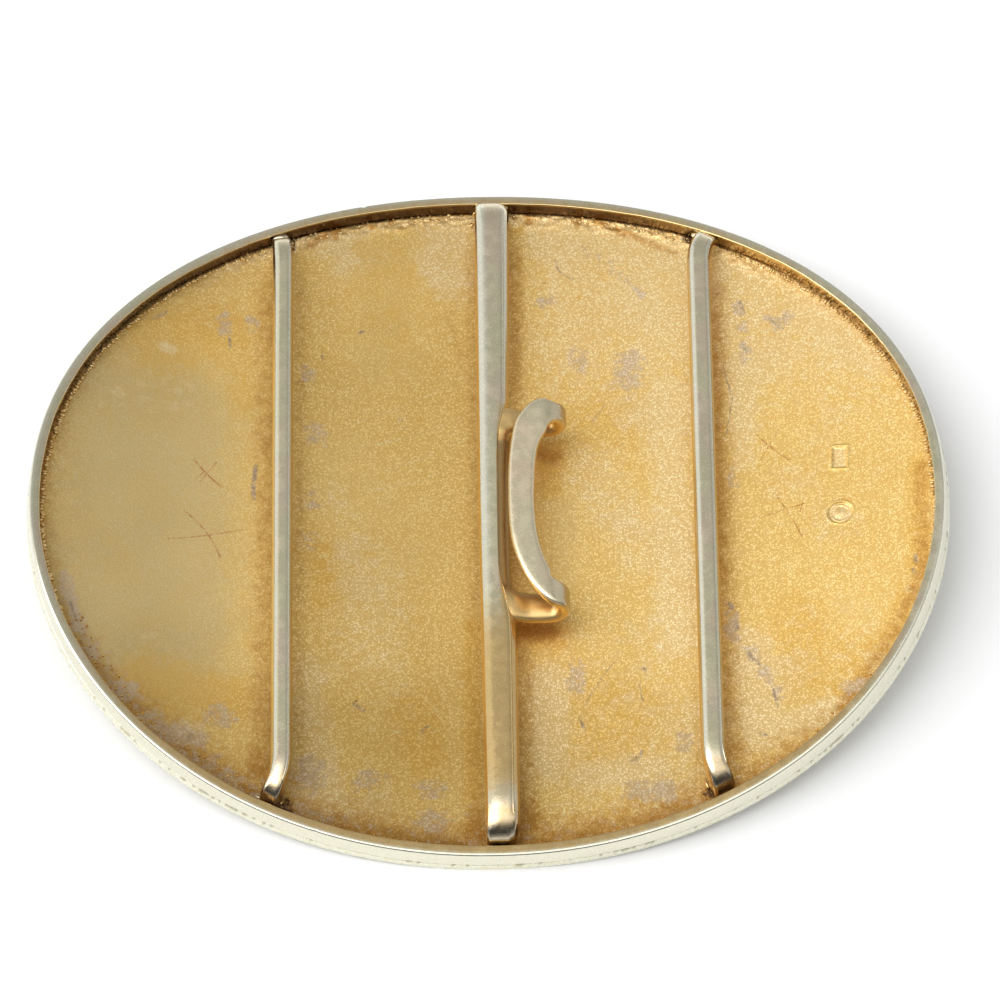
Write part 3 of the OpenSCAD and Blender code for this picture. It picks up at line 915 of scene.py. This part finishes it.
def bar_stations(run, bend, drop, turn):
    """Way from a bar's middle to its foot: along, sideways and down, with the heading and the dip."""
    step = bend * math.pi / 2 * BEND_STRETCH / BEND_STEPS
    reach = sum(math.cos(bend_dip((k + 0.5) / BEND_STEPS)) for k in range(BEND_STEPS)) * step
    start = run + bend - reach
    stations = [(start * k / STRAIGHT_STEPS, 0.0, 0.0, 0.0, 0.0) for k in range(STRAIGHT_STEPS + 1)]

    def heading_at(share):
        return turn * float(soft_step(-0.1, 0.65, share))

    along, side, down = start, 0.0, 0.0
    for k in range(BEND_STEPS):
        heading = heading_at((k + 0.5) / BEND_STEPS)
        dip = bend_dip((k + 0.5) / BEND_STEPS)
        along += step * math.cos(heading) * math.cos(dip)
        side += step * math.sin(heading) * math.cos(dip)
        down += step * math.sin(dip)
        reached = (k + 1) / BEND_STEPS
        stations.append((along, side, down, heading_at(reached), bend_dip(reached)))
    for level in (drop - 0.12, drop):
        if level > down + 0.05:
            stations.append((along, side, level, turn, math.pi / 2))
    return stations


def make_bar(name, bends, top, sections, widths, bend, turns, foot):
    """Strap bar through its two bends, given in plan, with its ends bent down and turned to the rim."""
    far, near = (np.array(place) for place in bends)
    middle = (far + near) / 2
    axis = (far - near) / np.linalg.norm(far - near)
    right = np.array([axis[1], -axis[0]])
    run = np.linalg.norm(far - near) / 2
    worn, plain = (np.array(section) for section in sections)
    rings = []
    dips = []
    for sign, turn in ((-1, turns[1]), (1, turns[0])):
        half = []
        for along, side, down, heading, dip in bar_stations(run, bend, top - foot, math.radians(turn)):
            plan = middle + axis * sign * along + right * side
            centre = Vector((*plan, top - down))
            across = Vector((*(right * math.cos(heading) - axis * sign * math.sin(heading)), 0))
            ahead = Vector((*(axis * sign * math.cos(heading) + right * math.sin(heading)), 0))
            ahead = ahead * math.cos(dip) - Vector((0, 0, math.sin(dip)))
            up = across.cross(ahead) * sign
            left_half, right_half = widths(plan[1])
            flatten = float(soft_step(0.3, 1.2, dip))
            section = worn + (plain - worn) * flatten
            if down > top - foot - 0.05:
                section = section * (0.93, 1)
            ring = [centre + across * s * (left_half if s < 0 else right_half) + up * d for s, d in section]
            half.append((ring, dip))
        half = half[:0:-1] if sign < 0 else half
        rings += [ring for ring, dip in half]
        dips += [dip for ring, dip in half]
    verts = np.array([tuple(point) for ring in rings for point in ring])
    columns = len(worn)
    faces = grid_faces(len(rings), columns, flip=True)
    faces.append(tuple(range(columns)))
    faces.append(tuple(range((len(rings) - 1) * columns, len(rings) * columns))[::-1])
    across = np.tile(worn[:, 0], len(rings))
    depth = np.tile(worn[:, 1], len(rings))
    bent = np.repeat(dips, columns)
    leg = soft_step(0.5, 1.2, bent)
    y, z = verts[:, 1], verts[:, 2]
    edge = soft_step(0.84, 0.95, np.abs(across)) * soft_step(-0.2, -0.45, depth)
    gold = edge * (0.9 - 0.35 * leg)
    # Painted sheen: the near bends are tinted gold where their highlight falls
    gold += 0.5 * soft_step(0.02, 0.3, bent) * soft_step(0.9, 0.6, bent) * (y < 0)
    bright = 0.8 * soft_step(-0.3, -0.6, across) + 0.5 * soft_step(0.4, 0.7, across)
    if name == "centre_bar":
        gold += 1.1 * soft_step(-0.1, 0.75, across) * soft_step(-13, -9.5, y) * soft_step(11, 8.5, y)
        gold += (0.85 * soft_step(-6, -16, y) * soft_step(-30.5, -25, y) + 0.12) * (1 - leg)
        bright = bright * (1 - 0.7 * soft_step(0, -14, y))
    dirt_and_shade = 0.55 * leg * soft_step(foot + 0.8, foot + 0.1, z)
    # Painted shade on the near bends: a dark band where they mirror the dark front, darker feet, and the
    # highlight above dimmed a little
    shade = (0.34 * soft_step(1.05, 1.35, bent) + 0.6 * ridge(bent - 0.88, 0.14)) * (y < 0)
    shade += 0.1 * soft_step(0.02, 0.25, bent) * soft_step(0.9, 0.7, bent) * (y < 0)
    marks = {"gold": gold, "bright": bright, "dirt_and_shade": dirt_and_shade, "shade": shade}
    make_piece(name, verts, faces, bar_metal, "pale_gilt", "frame", **marks)


# Right edge of the centre bar, which is filed away for the hook, at places along it
CENTRE_BAR_PLACES = (-30, -13.5, -12.1, -10.9, -9.4, -8.2, -7.2, -6, -2.7, 2, 6, 7.4, 8.6, 9.4, 10.6, 20, 30)
CENTRE_BAR_RIGHT = (2.5, 2.43, 2.36, 2.22, 1.85, 1.42, 1, 0.76, 0.63, 0.78, 0.86, 1, 1.42, 1.7,
                    1.82, 1.95, 2.02)


def centre_widths(y):
    """Half widths of the centre bar to the left and right of its middle line."""
    (far_x, far_y), (near_x, near_y) = CENTRE_BAR
    middle = near_x + (far_x - near_x) * (y - near_y) / (far_y - near_y)
    right = np.interp(y, CENTRE_BAR_PLACES, CENTRE_BAR_RIGHT)
    left = np.interp(y, [-30, -14, 0, 30], [-0.37, -0.62, -0.84, -1.02])
    return float(middle - left), float(right - middle)


# Solder lumps where the bars meet the rim: place, half sizes, turn in degrees and kind
SOLDER = [
    ((-19.4, -27.35, 2.05), (0.62, 0.13, 0.22), -32, "bright"),
    ((-18.5, -27.8, 2.15), (0.22, 0.17, 0.2), 0, "bright"),
    ((-17.75, -27.7, 1.95), (0.2, 0.16, 0.16), 20, "gold"),
    ((-20.0, -26.55, 1.85), (0.34, 0.42, 0.16), 10, "shade"),
    ((20.15, -26.95, 2.1), (0.36, 0.25, 0.26), 25, "gold"),
    ((20.1, -26.3, 2.0), (0.13, 0.12, 0.14), 0, "bright"),
    ((18.3, -26.4, 2.0), (0.14, 0.5, 0.2), 20, "gold"),
    ((0.1, -31.5, 1.15), (0.2, 0.12, 0.14), 0, "bright"),
    ((0.75, -31.55, 1.12), (0.26, 0.1, 0.12), 5, "bright"),
    ((1.5, -31.5, 1.1), (0.2, 0.1, 0.1), -5, "gold"),
    ((2.15, -31.5, 1.15), (0.16, 0.12, 0.15), 0, "bright"),
    ((-20.15, 27.75, 2.1), (0.2, 0.14, 0.16), 30, "gold"),
    ((-20.6, 27.5, 2.0), (0.14, 0.1, 0.12), 0, "bright"),
    ((20.65, 26.6, 1.95), (0.2, 0.24, 0.14), 0, "orange"),
    ((-1.12, 31.75, 1.7), (0.13, 0.3, 0.3), 0, "orange"),
    ((-1.3, 30.9, 1.2), (0.22, 0.16, 0.1), 20, "gold"), ((2.5, 31.7, 1.2), (0.2, 0.14, 0.14), -15, "gold"),
    ((17.6, 28.4, 2.2), (0.18, 0.12, 0.16), 10, "bright"),
    ((-18.5, 28.65, 2.85), (0.84, 0.5, 0.36), 4, "plain"),
    ((19.3, 28.3, 2.85), (0.95, 0.5, 0.36), -12, "plain"), ((0.6, 32.2, 2.0), (1.5, 0.45, 0.4), 0, "gold"),
]


# Marks that each kind of lump gives its metal
LUMP_MARKS = {"bright": {"bright": 1}, "gold": {"gold": 1}, "orange": {"gold": 0.6, "orange": 1},
              "shade": {"shade": 1}, "plain": {}}


def make_solder():
    """Lumps of solder at the feet of the bars, each a little uneven."""
    verts = []
    faces = []
    marks = {name: [] for name in ("bright", "gold", "orange", "shade")}
    rings, around = 7, 14
    for place, half, turn, colour in SOLDER:
        start = len(verts)
        spin = Matrix.Rotation(math.radians(turn), 3, "Z")
        for r in range(rings):
            tilt = math.pi * (r + 0.5) / rings - math.pi / 2
            for c in range(around):
                lap = 2 * math.pi * c / around
                level = math.cos(tilt)
                way = Vector((level * math.cos(lap), level * math.sin(lap), math.sin(tilt)))
                swell = 1 + 0.22 * noise.noise(way * 1.6 + Vector(place))
                verts.append(Vector(place) + spin @ Vector([a * b * swell for a, b in zip(way, half)]))
        faces += [tuple(start + v for v in face) for face in grid_faces(rings, around)]
        faces.append(tuple(range(start, start + around))[::-1])
        faces.append(tuple(range(len(verts) - around, len(verts))))
        for name, values in marks.items():
            values += [LUMP_MARKS[colour].get(name, 0)] * (rings * around)
    make_piece("solder", [tuple(v) for v in verts], faces, bar_metal, "pale_gilt", "frame", **marks)


# Hook

HOOK_SHEET = 1.15
HOOK_BASE = 2.75
CURL_X = 5.24
CURL_RADIUS = 1.8
# Turn of the sheet along the curl, even at first and easing out into the bow
CURL_SHARES = np.linspace(0, 1, 201)
CURL_BEND = np.clip((1 - CURL_SHARES) / 0.5, 0, 1)
CURL_TURN = np.concatenate([[0], np.cumsum(CURL_BEND[1:] + CURL_BEND[:-1])])
CURL_TURN *= math.pi / CURL_TURN[-1]
CURL_STEPS = (CURL_TURN[1:] + CURL_TURN[:-1]) / 2
# Length of the curl along the middle of the sheet
CURL_RUN = (2 * CURL_RADIUS - HOOK_SHEET) / np.sin(CURL_STEPS).mean()
CURL_ALONG = np.concatenate([[0], np.cumsum(np.cos(CURL_STEPS))]) * CURL_RUN / 200
CURL_UP = np.concatenate([[0], np.cumsum(np.sin(CURL_STEPS))]) * CURL_RUN / 200


def on_curl(share):
    """Distance along the flat sheet of a place on the curl."""
    return CURL_X + share * CURL_RUN


def over(x):
    """Distance along the flat sheet of a place on the bow."""
    return 2 * CURL_X + CURL_RUN + CURL_ALONG[-1] - x


# The hook's ring on the flat sheet, station by station: outer and inner edge
HOOK_RING = [
    ((-0.3, 0.0), (1.87, 0.0)), ((-0.3, 5.0), (1.87, 5.0)), ((-0.3, 8.2), (1.9, 6.75)),
    ((0.6, 9.9), (2.2, 7.32)), ((2.6, 9.85), (2.9, 7.4)), ((4.2, 9.5), (4.2, 7.4)),
    ((5.4, 9.35), (5.4, 7.42)), ((on_curl(0.4), 9.35), (on_curl(0.4), 7.5)),
    ((on_curl(0.61), 9.3), (on_curl(0.61), 7.4)), ((on_curl(0.74), 9.47), (on_curl(0.74), 6.8)),
    ((over(5.0), 9.62), (over(5.12), 6.15)), ((over(4.13), 9.33), (over(4.78), 5.5)),
    ((over(3.26), 8.47), (over(4.53), 4.85)), ((over(2.53), 7.25), (over(4.36), 4.05)),
    ((over(2.13), 5.4), (over(4.22), 2.95)), ((over(1.86), 3.0), (over(4.11), 1.2)),
    ((over(1.76), 0.0), (over(4.04), -0.8)), ((over(1.8), -2.9), (over(4.13), -3.0)),
    ((over(2.09), -5.27), (over(4.35), -4.7)), ((over(2.8), -7.5), (over(4.74), -6.35)),
    ((over(3.63), -9.1), (over(5.2), -7.6)), ((over(4.7), -10.4), (on_curl(0.76), -8.2)),
    ((on_curl(0.69), -10.9), (on_curl(0.61), -8.62)), ((on_curl(0.4), -10.98), (on_curl(0.4), -8.75)),
    ((5.4, -11.2), (5.4, -8.65)), ((4.0, -11.25), (4.0, -8.55)), ((2.5, -11.25), (2.75, -8.45)),
    ((0.6, -11.2), (2.3, -8.2)), ((-0.3, -9.6), (2.0, -7.6)), ((-0.3, -5.0), (1.88, -5.5)),
]


def curl_place(u, v, depth):
    """Place of a point of the flat sheet, with depth 0 on the outside of the curl."""
    axis = CURL_X - 0.006 * v
    share = (u - axis) / CURL_RUN
    turn = float(np.interp(share, CURL_SHARES, CURL_TURN))
    beyond = min(u - axis, 0) - max(u - axis - CURL_RUN, 0)
    x = axis + float(np.interp(share, CURL_SHARES, CURL_ALONG)) + beyond
    z = HOOK_BASE + HOOK_SHEET / 2 + float(np.interp(share, CURL_SHARES, CURL_UP))
    out = HOOK_SHEET / 2 - depth
    return (x + out * math.sin(turn), v, z - out * math.cos(turn))


def both_sides(edge, face):
    """Section from a worn edge over the face to the same edge on the other side."""
    return edge + [(share, 0) for share in face] + [(1 - share, depth) for share, depth in edge[::-1]]


def make_hook():
    """Sheet hook: its ring on the flat sheet, given a worn section and bent over at the curls."""
    steps = 7
    outer = smooth_loop([row[0] for row in HOOK_RING], steps)
    inner = smooth_loop([row[1] for row in HOOK_RING], steps)
    corner = [(0, 0.38), (0.02, 0.2), (0.06, 0.08), (0.12, 0.02)]
    cushion = [(0, 0.52), (0.03, 0.33), (0.1, 0.15), (0.22, 0.03)]
    outside = both_sides(corner, (0.2, 0.35, 0.5, 0.65, 0.8))
    inside = both_sides(cushion, (0.38, 0.5, 0.62))
    across = outside + [(share, HOOK_SHEET - depth) for share, depth in inside[::-1]]
    verts = []
    marks = {name: [] for name in ("gold", "bright", "orange", "shade")}
    for edge_out, edge_in in zip(outer, inner):
        on_bow = float(soft_step(6.8, 7.3, edge_out[0]))
        for share, depth in across:
            flat = edge_out + (edge_in - edge_out) * share
            place = curl_place(flat[0], flat[1], depth)
            at_arm = max(soft_step(6.6, 7.4, flat[1]), soft_step(-7.9, -8.7, flat[1]))
            fillet = 0.4 * float(soft_step(3.7, 1.9, flat[0]) * at_arm)
            verts.append((place[0], place[1], place[2] + fillet))
            on_top = on_bow * float(soft_step(0.34, 0.12, depth))
            base = float(soft_step(2.6, 1.9, flat[0])) * (1 - at_arm)
            hollow = float(soft_step(0.45, 0.8, share) * soft_step(0.7, 1, depth))
            hollow *= float(soft_step(6.5, 5, flat[0]))
            marks["gold"].append(1 - on_top * 0.84)
            marks["bright"].append(on_top * float(soft_step(0.06, 0.0, min(share, 1 - share))))
            marks["orange"].append(0.35)
            turned = float(soft_step(on_curl(0.86), on_curl(0.62), edge_out[0]))
            # Painted shade: darker on the base strip beside the bar, on the arms' tops in the hollow under
            # the bow, and on the curl's top where it turns away
            marks["shade"].append(0.5 * base + 0.3 * hollow * at_arm + 0.2 * turned * on_top)
    columns = len(across)
    faces = grid_faces(len(outer), columns, close_rows=True)
    make_piece("hook", verts, faces, hook_metal, "pale_gilt", "frame", **marks)


# Small things that follow a line, by Geometry Nodes

def build_row_tree():
    """Tree that sets beads along a line, each one stretched, tilted and shifted a little at random."""
    tree = bpy.data.node_groups.new("beads along a line", "GeometryNodeTree")
    face = tree.interface
    face.new_socket("Line", in_out="INPUT", socket_type="NodeSocketGeometry")
    kinds = {"Pitch": "Float", "Size": "Vector", "Spread": "Vector", "Tilt": "Vector", "Smallest": "Float",
             "Largest": "Float", "Seed": "Int", "Material": "Material"}
    for label, kind in kinds.items():
        face.new_socket(label, in_out="INPUT", socket_type="NodeSocket" + kind)
    face.new_socket("Beads", in_out="OUTPUT", socket_type="NodeSocketGeometry")
    given = tree.nodes.new("NodeGroupInput").outputs
    result = tree.nodes.new("NodeGroupOutput").inputs

    def chance(low, high, shift, kind="FLOAT_VECTOR"):
        seed = put(tree, "FunctionNodeIntegerMath", {0: given["Seed"], 1: shift}, operation="ADD").outputs[0]
        made = put(tree, "FunctionNodeRandomValue", data_type=kind)
        sockets = [s for s in made.inputs if s.enabled and s.name in ("Min", "Max")]
        for socket, value in zip(sockets, (low, high)):
            if isinstance(value, bpy.types.NodeSocket):
                tree.links.new(value, socket)
            else:
                socket.default_value = value
        tree.links.new(seed, made.inputs["Seed"])
        return next(s for s in made.outputs if s.enabled)

    def scaled(vector, amount):
        made = put(tree, "ShaderNodeVectorMath", {0: vector, "Scale": amount}, operation="SCALE")
        return made.outputs["Vector"]

    curve = put(tree, "GeometryNodeMeshToCurve", {"Mesh": given["Line"]}).outputs["Curve"]
    curve = put(tree, "GeometryNodeSetCurveNormal", {"Curve": curve}, mode="Z_UP").outputs["Curve"]
    spots = put(tree, "GeometryNodeCurveToPoints", {"Curve": curve, "Length": given["Pitch"]}, mode="LENGTH")
    spots = spots.outputs
    shift = chance(scaled(given["Spread"], -1.0), given["Spread"], 1)
    moved = put(tree, "GeometryNodeSetPosition", {"Geometry": spots["Points"], "Offset": shift})
    moved = moved.outputs["Geometry"]
    tilt = chance(scaled(given["Tilt"], -1.0), given["Tilt"], 2)
    tilt = put(tree, "FunctionNodeEulerToRotation", {0: tilt}).outputs[0]
    facing = put(tree, "FunctionNodeRotateRotation", {"Rotation": spots["Rotation"], "Rotate By": tilt},
                 rotation_space="LOCAL").outputs[0]
    scale = scaled(given["Size"], chance(given["Smallest"], given["Largest"], 3, "FLOAT"))
    bead = put(tree, "GeometryNodeMeshUVSphere", {"Segments": 8, "Rings": 5, "Radius": 0.5}).outputs["Mesh"]
    beads = put(tree, "GeometryNodeInstanceOnPoints", {
        "Points": moved, "Instance": bead, "Rotation": facing, "Scale": scale}).outputs["Instances"]
    solid = put(tree, "GeometryNodeRealizeInstances", {"Geometry": beads}).outputs["Geometry"]
    smooth = put(tree, "GeometryNodeSetShadeSmooth", {"Geometry": solid}).outputs["Geometry"]
    painted = put(tree, "GeometryNodeSetMaterial", {"Geometry": smooth, "Material": given["Material"]})
    tree.links.new(painted.outputs["Geometry"], result["Beads"])
    return tree


def bead_row(name, lines, material, slot, replaced, **sizes):
    """Beads along open lines of points in millimetres, made by the tree and kept as a plain mesh."""
    verts = [tuple(point) for line in lines for point in line]
    edges = []
    start = 0
    for line in lines:
        edges += [(k, k + 1) for k in range(start, start + len(line) - 1)]
        start += len(line)
    mesh = bpy.data.meshes.new(name + " line")
    mesh.from_pydata((np.array(verts) * MM).tolist(), edges, [])
    holder = bpy.data.objects.new(name + " line", mesh)
    bpy.context.scene.collection.objects.link(holder)
    modifier = holder.modifiers.new("beads", "NODES")
    modifier.node_group = row_tree
    sizes["Material"] = material
    for label in ("Pitch", "Size", "Spread"):
        sizes[label] = np.multiply(sizes[label], MM).tolist()
    for item in row_tree.interface.items_tree:
        if item.in_out == "INPUT" and item.name in sizes:
            modifier[item.identifier] = sizes[item.name]
    bpy.context.view_layer.update()
    result = bpy.data.meshes.new_from_object(holder.evaluated_get(bpy.context.evaluated_depsgraph_get()))
    result.name = name
    bpy.data.objects.remove(holder)
    finish_piece(name, result, material, replaced)


row_tree = build_row_tree()


def inside_line(start, end, inset, lift):
    """Line on the plate along the inside of the rim, between two angles round the oval."""
    points, normals = oval_outline(2400)
    foot = wall(points, normals, RIM_WIDTH, PLATE)[:, :2]
    angle = clock(points)
    chosen = (angle - start) % 360 < (end - start) % 360
    order = np.argsort((angle[chosen] - start) % 360)
    plan = (foot - inset * normals)[chosen][order]
    return np.column_stack([plan, plate_back(plan[:, 0]) + lift])


# Distances of the rows of flakes and of crumbs from the inside of the rim
FLAKE_ROWS = (0.22, 0.4, 0.62)
CRUMB_ROWS = (0.6, 1.0, 1.5)


def make_edge_marks():
    """Tool marks along the rim's ends, gilding flaked along its far side and crumbs along its near one."""
    marks = [inside_line(124, 206, 0.36, 0.09), inside_line(-12, 58, 0.38, 0.07)]
    bead_row("tool_marks", marks, mark_metal, "matte_gilt", "face_plate", Pitch=0.29, Size=(0.5, 0.2, 0.26),
             Spread=(0.09, 0.09, 0.03), Tilt=(0.35, 0.45, 0.35), Smallest=0.7, Largest=1.25, Seed=11)
    flakes = [inside_line(*ends, inset, 0.06) for ends in ((93, 124), (62, 87)) for inset in FLAKE_ROWS]
    bead_row("edge_flakes", flakes, mark_metal, "matte_gilt", "face_plate", Pitch=0.34,
             Size=(0.36, 0.14, 0.3), Spread=(0.16, 0.14, 0.05), Tilt=(0.7, 0.9, 0.6),
             Smallest=0.4, Largest=1.2, Seed=4)
    crumbs = [inside_line(200, 238, inset, 0.02) for inset in CRUMB_ROWS]
    crumbs += [inside_line(242, 266, 0.7, 0.02), inside_line(274, 330, 0.7, 0.02)]
    bead_row("edge_crumbs", crumbs, crumb_metal, "matte_gilt", "face_plate", Pitch=0.36,
             Size=(0.26, 0.16, 0.12), Spread=(0.45, 0.45, 0.02), Tilt=(0.5, 0.5, 3.0),
             Smallest=0.35, Largest=1.3, Seed=7)


# Camera, light and floor

# View of the photograph: angles, distance from the target, and the target's place and scale in its pixels
ELEVATION = math.radians(60)
AZIMUTH = math.radians(0.85)
ROLL = math.radians(-1.4)
DISTANCE = 443.0
TARGET = Vector((0, 0, 2.5))
PICTURE = 1000
TARGET_ACROSS = 488.3
TARGET_DOWN = 513.6
PIXELS_PER_MM = 11.481
SENSOR = 36


def place_camera():
    """Camera at the photograph's angle."""
    level = math.cos(ELEVATION)
    back = Vector((math.sin(AZIMUTH) * level, -math.cos(AZIMUTH) * level, math.sin(ELEVATION)))
    right = Vector((math.cos(AZIMUTH), math.sin(AZIMUTH), 0))
    up = back.cross(right)
    turned_right = right * math.cos(ROLL) + up * math.sin(ROLL)
    turned_up = up * math.cos(ROLL) - right * math.sin(ROLL)
    data = bpy.data.cameras.new("camera")
    data.sensor_width = SENSOR
    data.lens = PIXELS_PER_MM * DISTANCE / PICTURE * SENSOR
    data.shift_x = (PICTURE / 2 - TARGET_ACROSS) / PICTURE
    data.shift_y = (TARGET_DOWN - PICTURE / 2) / PICTURE
    data.clip_start = 0.01
    data.clip_end = 10
    camera = bpy.data.objects.new("camera", data)
    axes = Matrix((turned_right, turned_up, back)).transposed().to_4x4()
    camera.matrix_world = Matrix.Translation((TARGET + back * DISTANCE) * MM) @ axes
    bpy.context.scene.collection.objects.link(camera)
    bpy.context.scene.camera = camera


FLOOR_LOOK = {"Base Color": (0.95, 0.95, 0.955, 1), "Roughness": 0.9, "Specular IOR Level": 0.2,
              "Emission Color": (1, 1, 1, 1), "Emission Strength": 0.02}
# Half the side of the floor in metres
FLOOR_REACH = 1.5


def lay_floor():
    """Plain pale floor."""
    material = bpy.data.materials.new("pale floor")
    material.use_nodes = True
    shader = material.node_tree.nodes["Principled BSDF"]
    for name, value in FLOOR_LOOK.items():
        shader.inputs[name].default_value = value
    mesh = bpy.data.meshes.new("floor")
    corners = [(x * FLOOR_REACH, y * FLOOR_REACH, 0) for x, y in ((-1, -1), (1, -1), (1, 1), (-1, 1))]
    mesh.from_pydata(corners, [], [(0, 1, 2, 3)])
    mesh.materials.append(material)
    floor = bpy.data.objects.new("floor", mesh)
    bpy.context.scene.collection.objects.link(floor)


# Brightness of the surroundings by angle, from the far horizon over the top to the near one
OVERHEAD = [(0, 0.75), (28, 0.45), (50, 0.46), (64, 0.5), (74, 0.95), (86, 1.42), (120, 1.42), (131, 0.7),
            (140, 0.1), (163, 0.08), (172, 0.35), (180, 0.45)]
# Extra brightness of the broad light above, on its left
LEFT_TOP = 2.6
# Brightness of the two sides, and of the dimmer stretch between the right side and the top
LEFT_SIDE = 0.85
RIGHT_SIDE = 0.62
RIGHT_DIM = 0.38


def light_studio():
    """Surroundings with a broad light overhead, a dark stretch in front and a brighter left side."""
    world = bpy.data.worlds.new("studio")
    world.use_nodes = True
    tree = world.node_tree
    bpy.context.scene.world = world
    place = put(tree, "ShaderNodeTexCoord").outputs["Generated"]
    way = put(tree, "ShaderNodeSeparateXYZ", {0: place}).outputs
    swing = calc(tree, "DIVIDE", calc(tree, "ARCTAN2", way["Z"], way["Y"]), math.pi)
    ramp = put(tree, "ShaderNodeValToRGB", {"Fac": swing})
    stops = ramp.color_ramp.elements
    while len(stops) > 1:
        stops.remove(stops[-1])
    for k, (angle, level) in enumerate(OVERHEAD):
        stop = stops[0] if k == 0 else stops.new(angle / 180)
        stop.color = (level, level, level, 1)
    behind = rise(tree, way["Y"], -0.5, 0.0)
    light = ramp.outputs["Color"]
    for low, high, level in ((-0.4, -0.5, LEFT_SIDE), (0.2, 0.4, RIGHT_DIM), (0.45, 0.6, RIGHT_SIDE)):
        share = times(tree, rise(tree, way["X"], low, high), behind)
        light = mixed(tree, share, light, (level, level, level, 1))
    extra = times(tree, rise(tree, swing, 0.37, 0.44), rise(tree, swing, 0.72, 0.66))
    extra = times(tree, extra, rise(tree, way["X"], 0.05, -0.5, 0.0, LEFT_TOP))
    light = mixed(tree, 1.0, light, extra, "ADD")
    tree.links.new(light, tree.nodes["Background"].inputs["Color"])
    tree.nodes["Background"].inputs["Strength"].default_value = 1.0
    bpy.context.scene.view_settings.view_transform = "Standard"


make_plate()
make_rim()
make_bar("left_bar", LEFT_BAR, top=4.9, sections=side_sections(LEFT_BAR_HALF),
         widths=lambda y: (0.89, 0.87), bend=3.0, turns=(-5, -32), foot=1.78)
make_bar("right_bar", RIGHT_BAR, top=4.9, sections=side_sections(RIGHT_BAR_HALF),
         widths=lambda y: (1.02, 1.0), bend=3.0, turns=(30, 26), foot=1.82)
make_bar("centre_bar", CENTRE_BAR, top=4.4, sections=centre_sections(), widths=centre_widths,
         bend=3.1, turns=(0, 0), foot=PLATE)
make_solder()
make_hook()
make_edge_marks()
place_camera()
lay_floor()
light_studio()
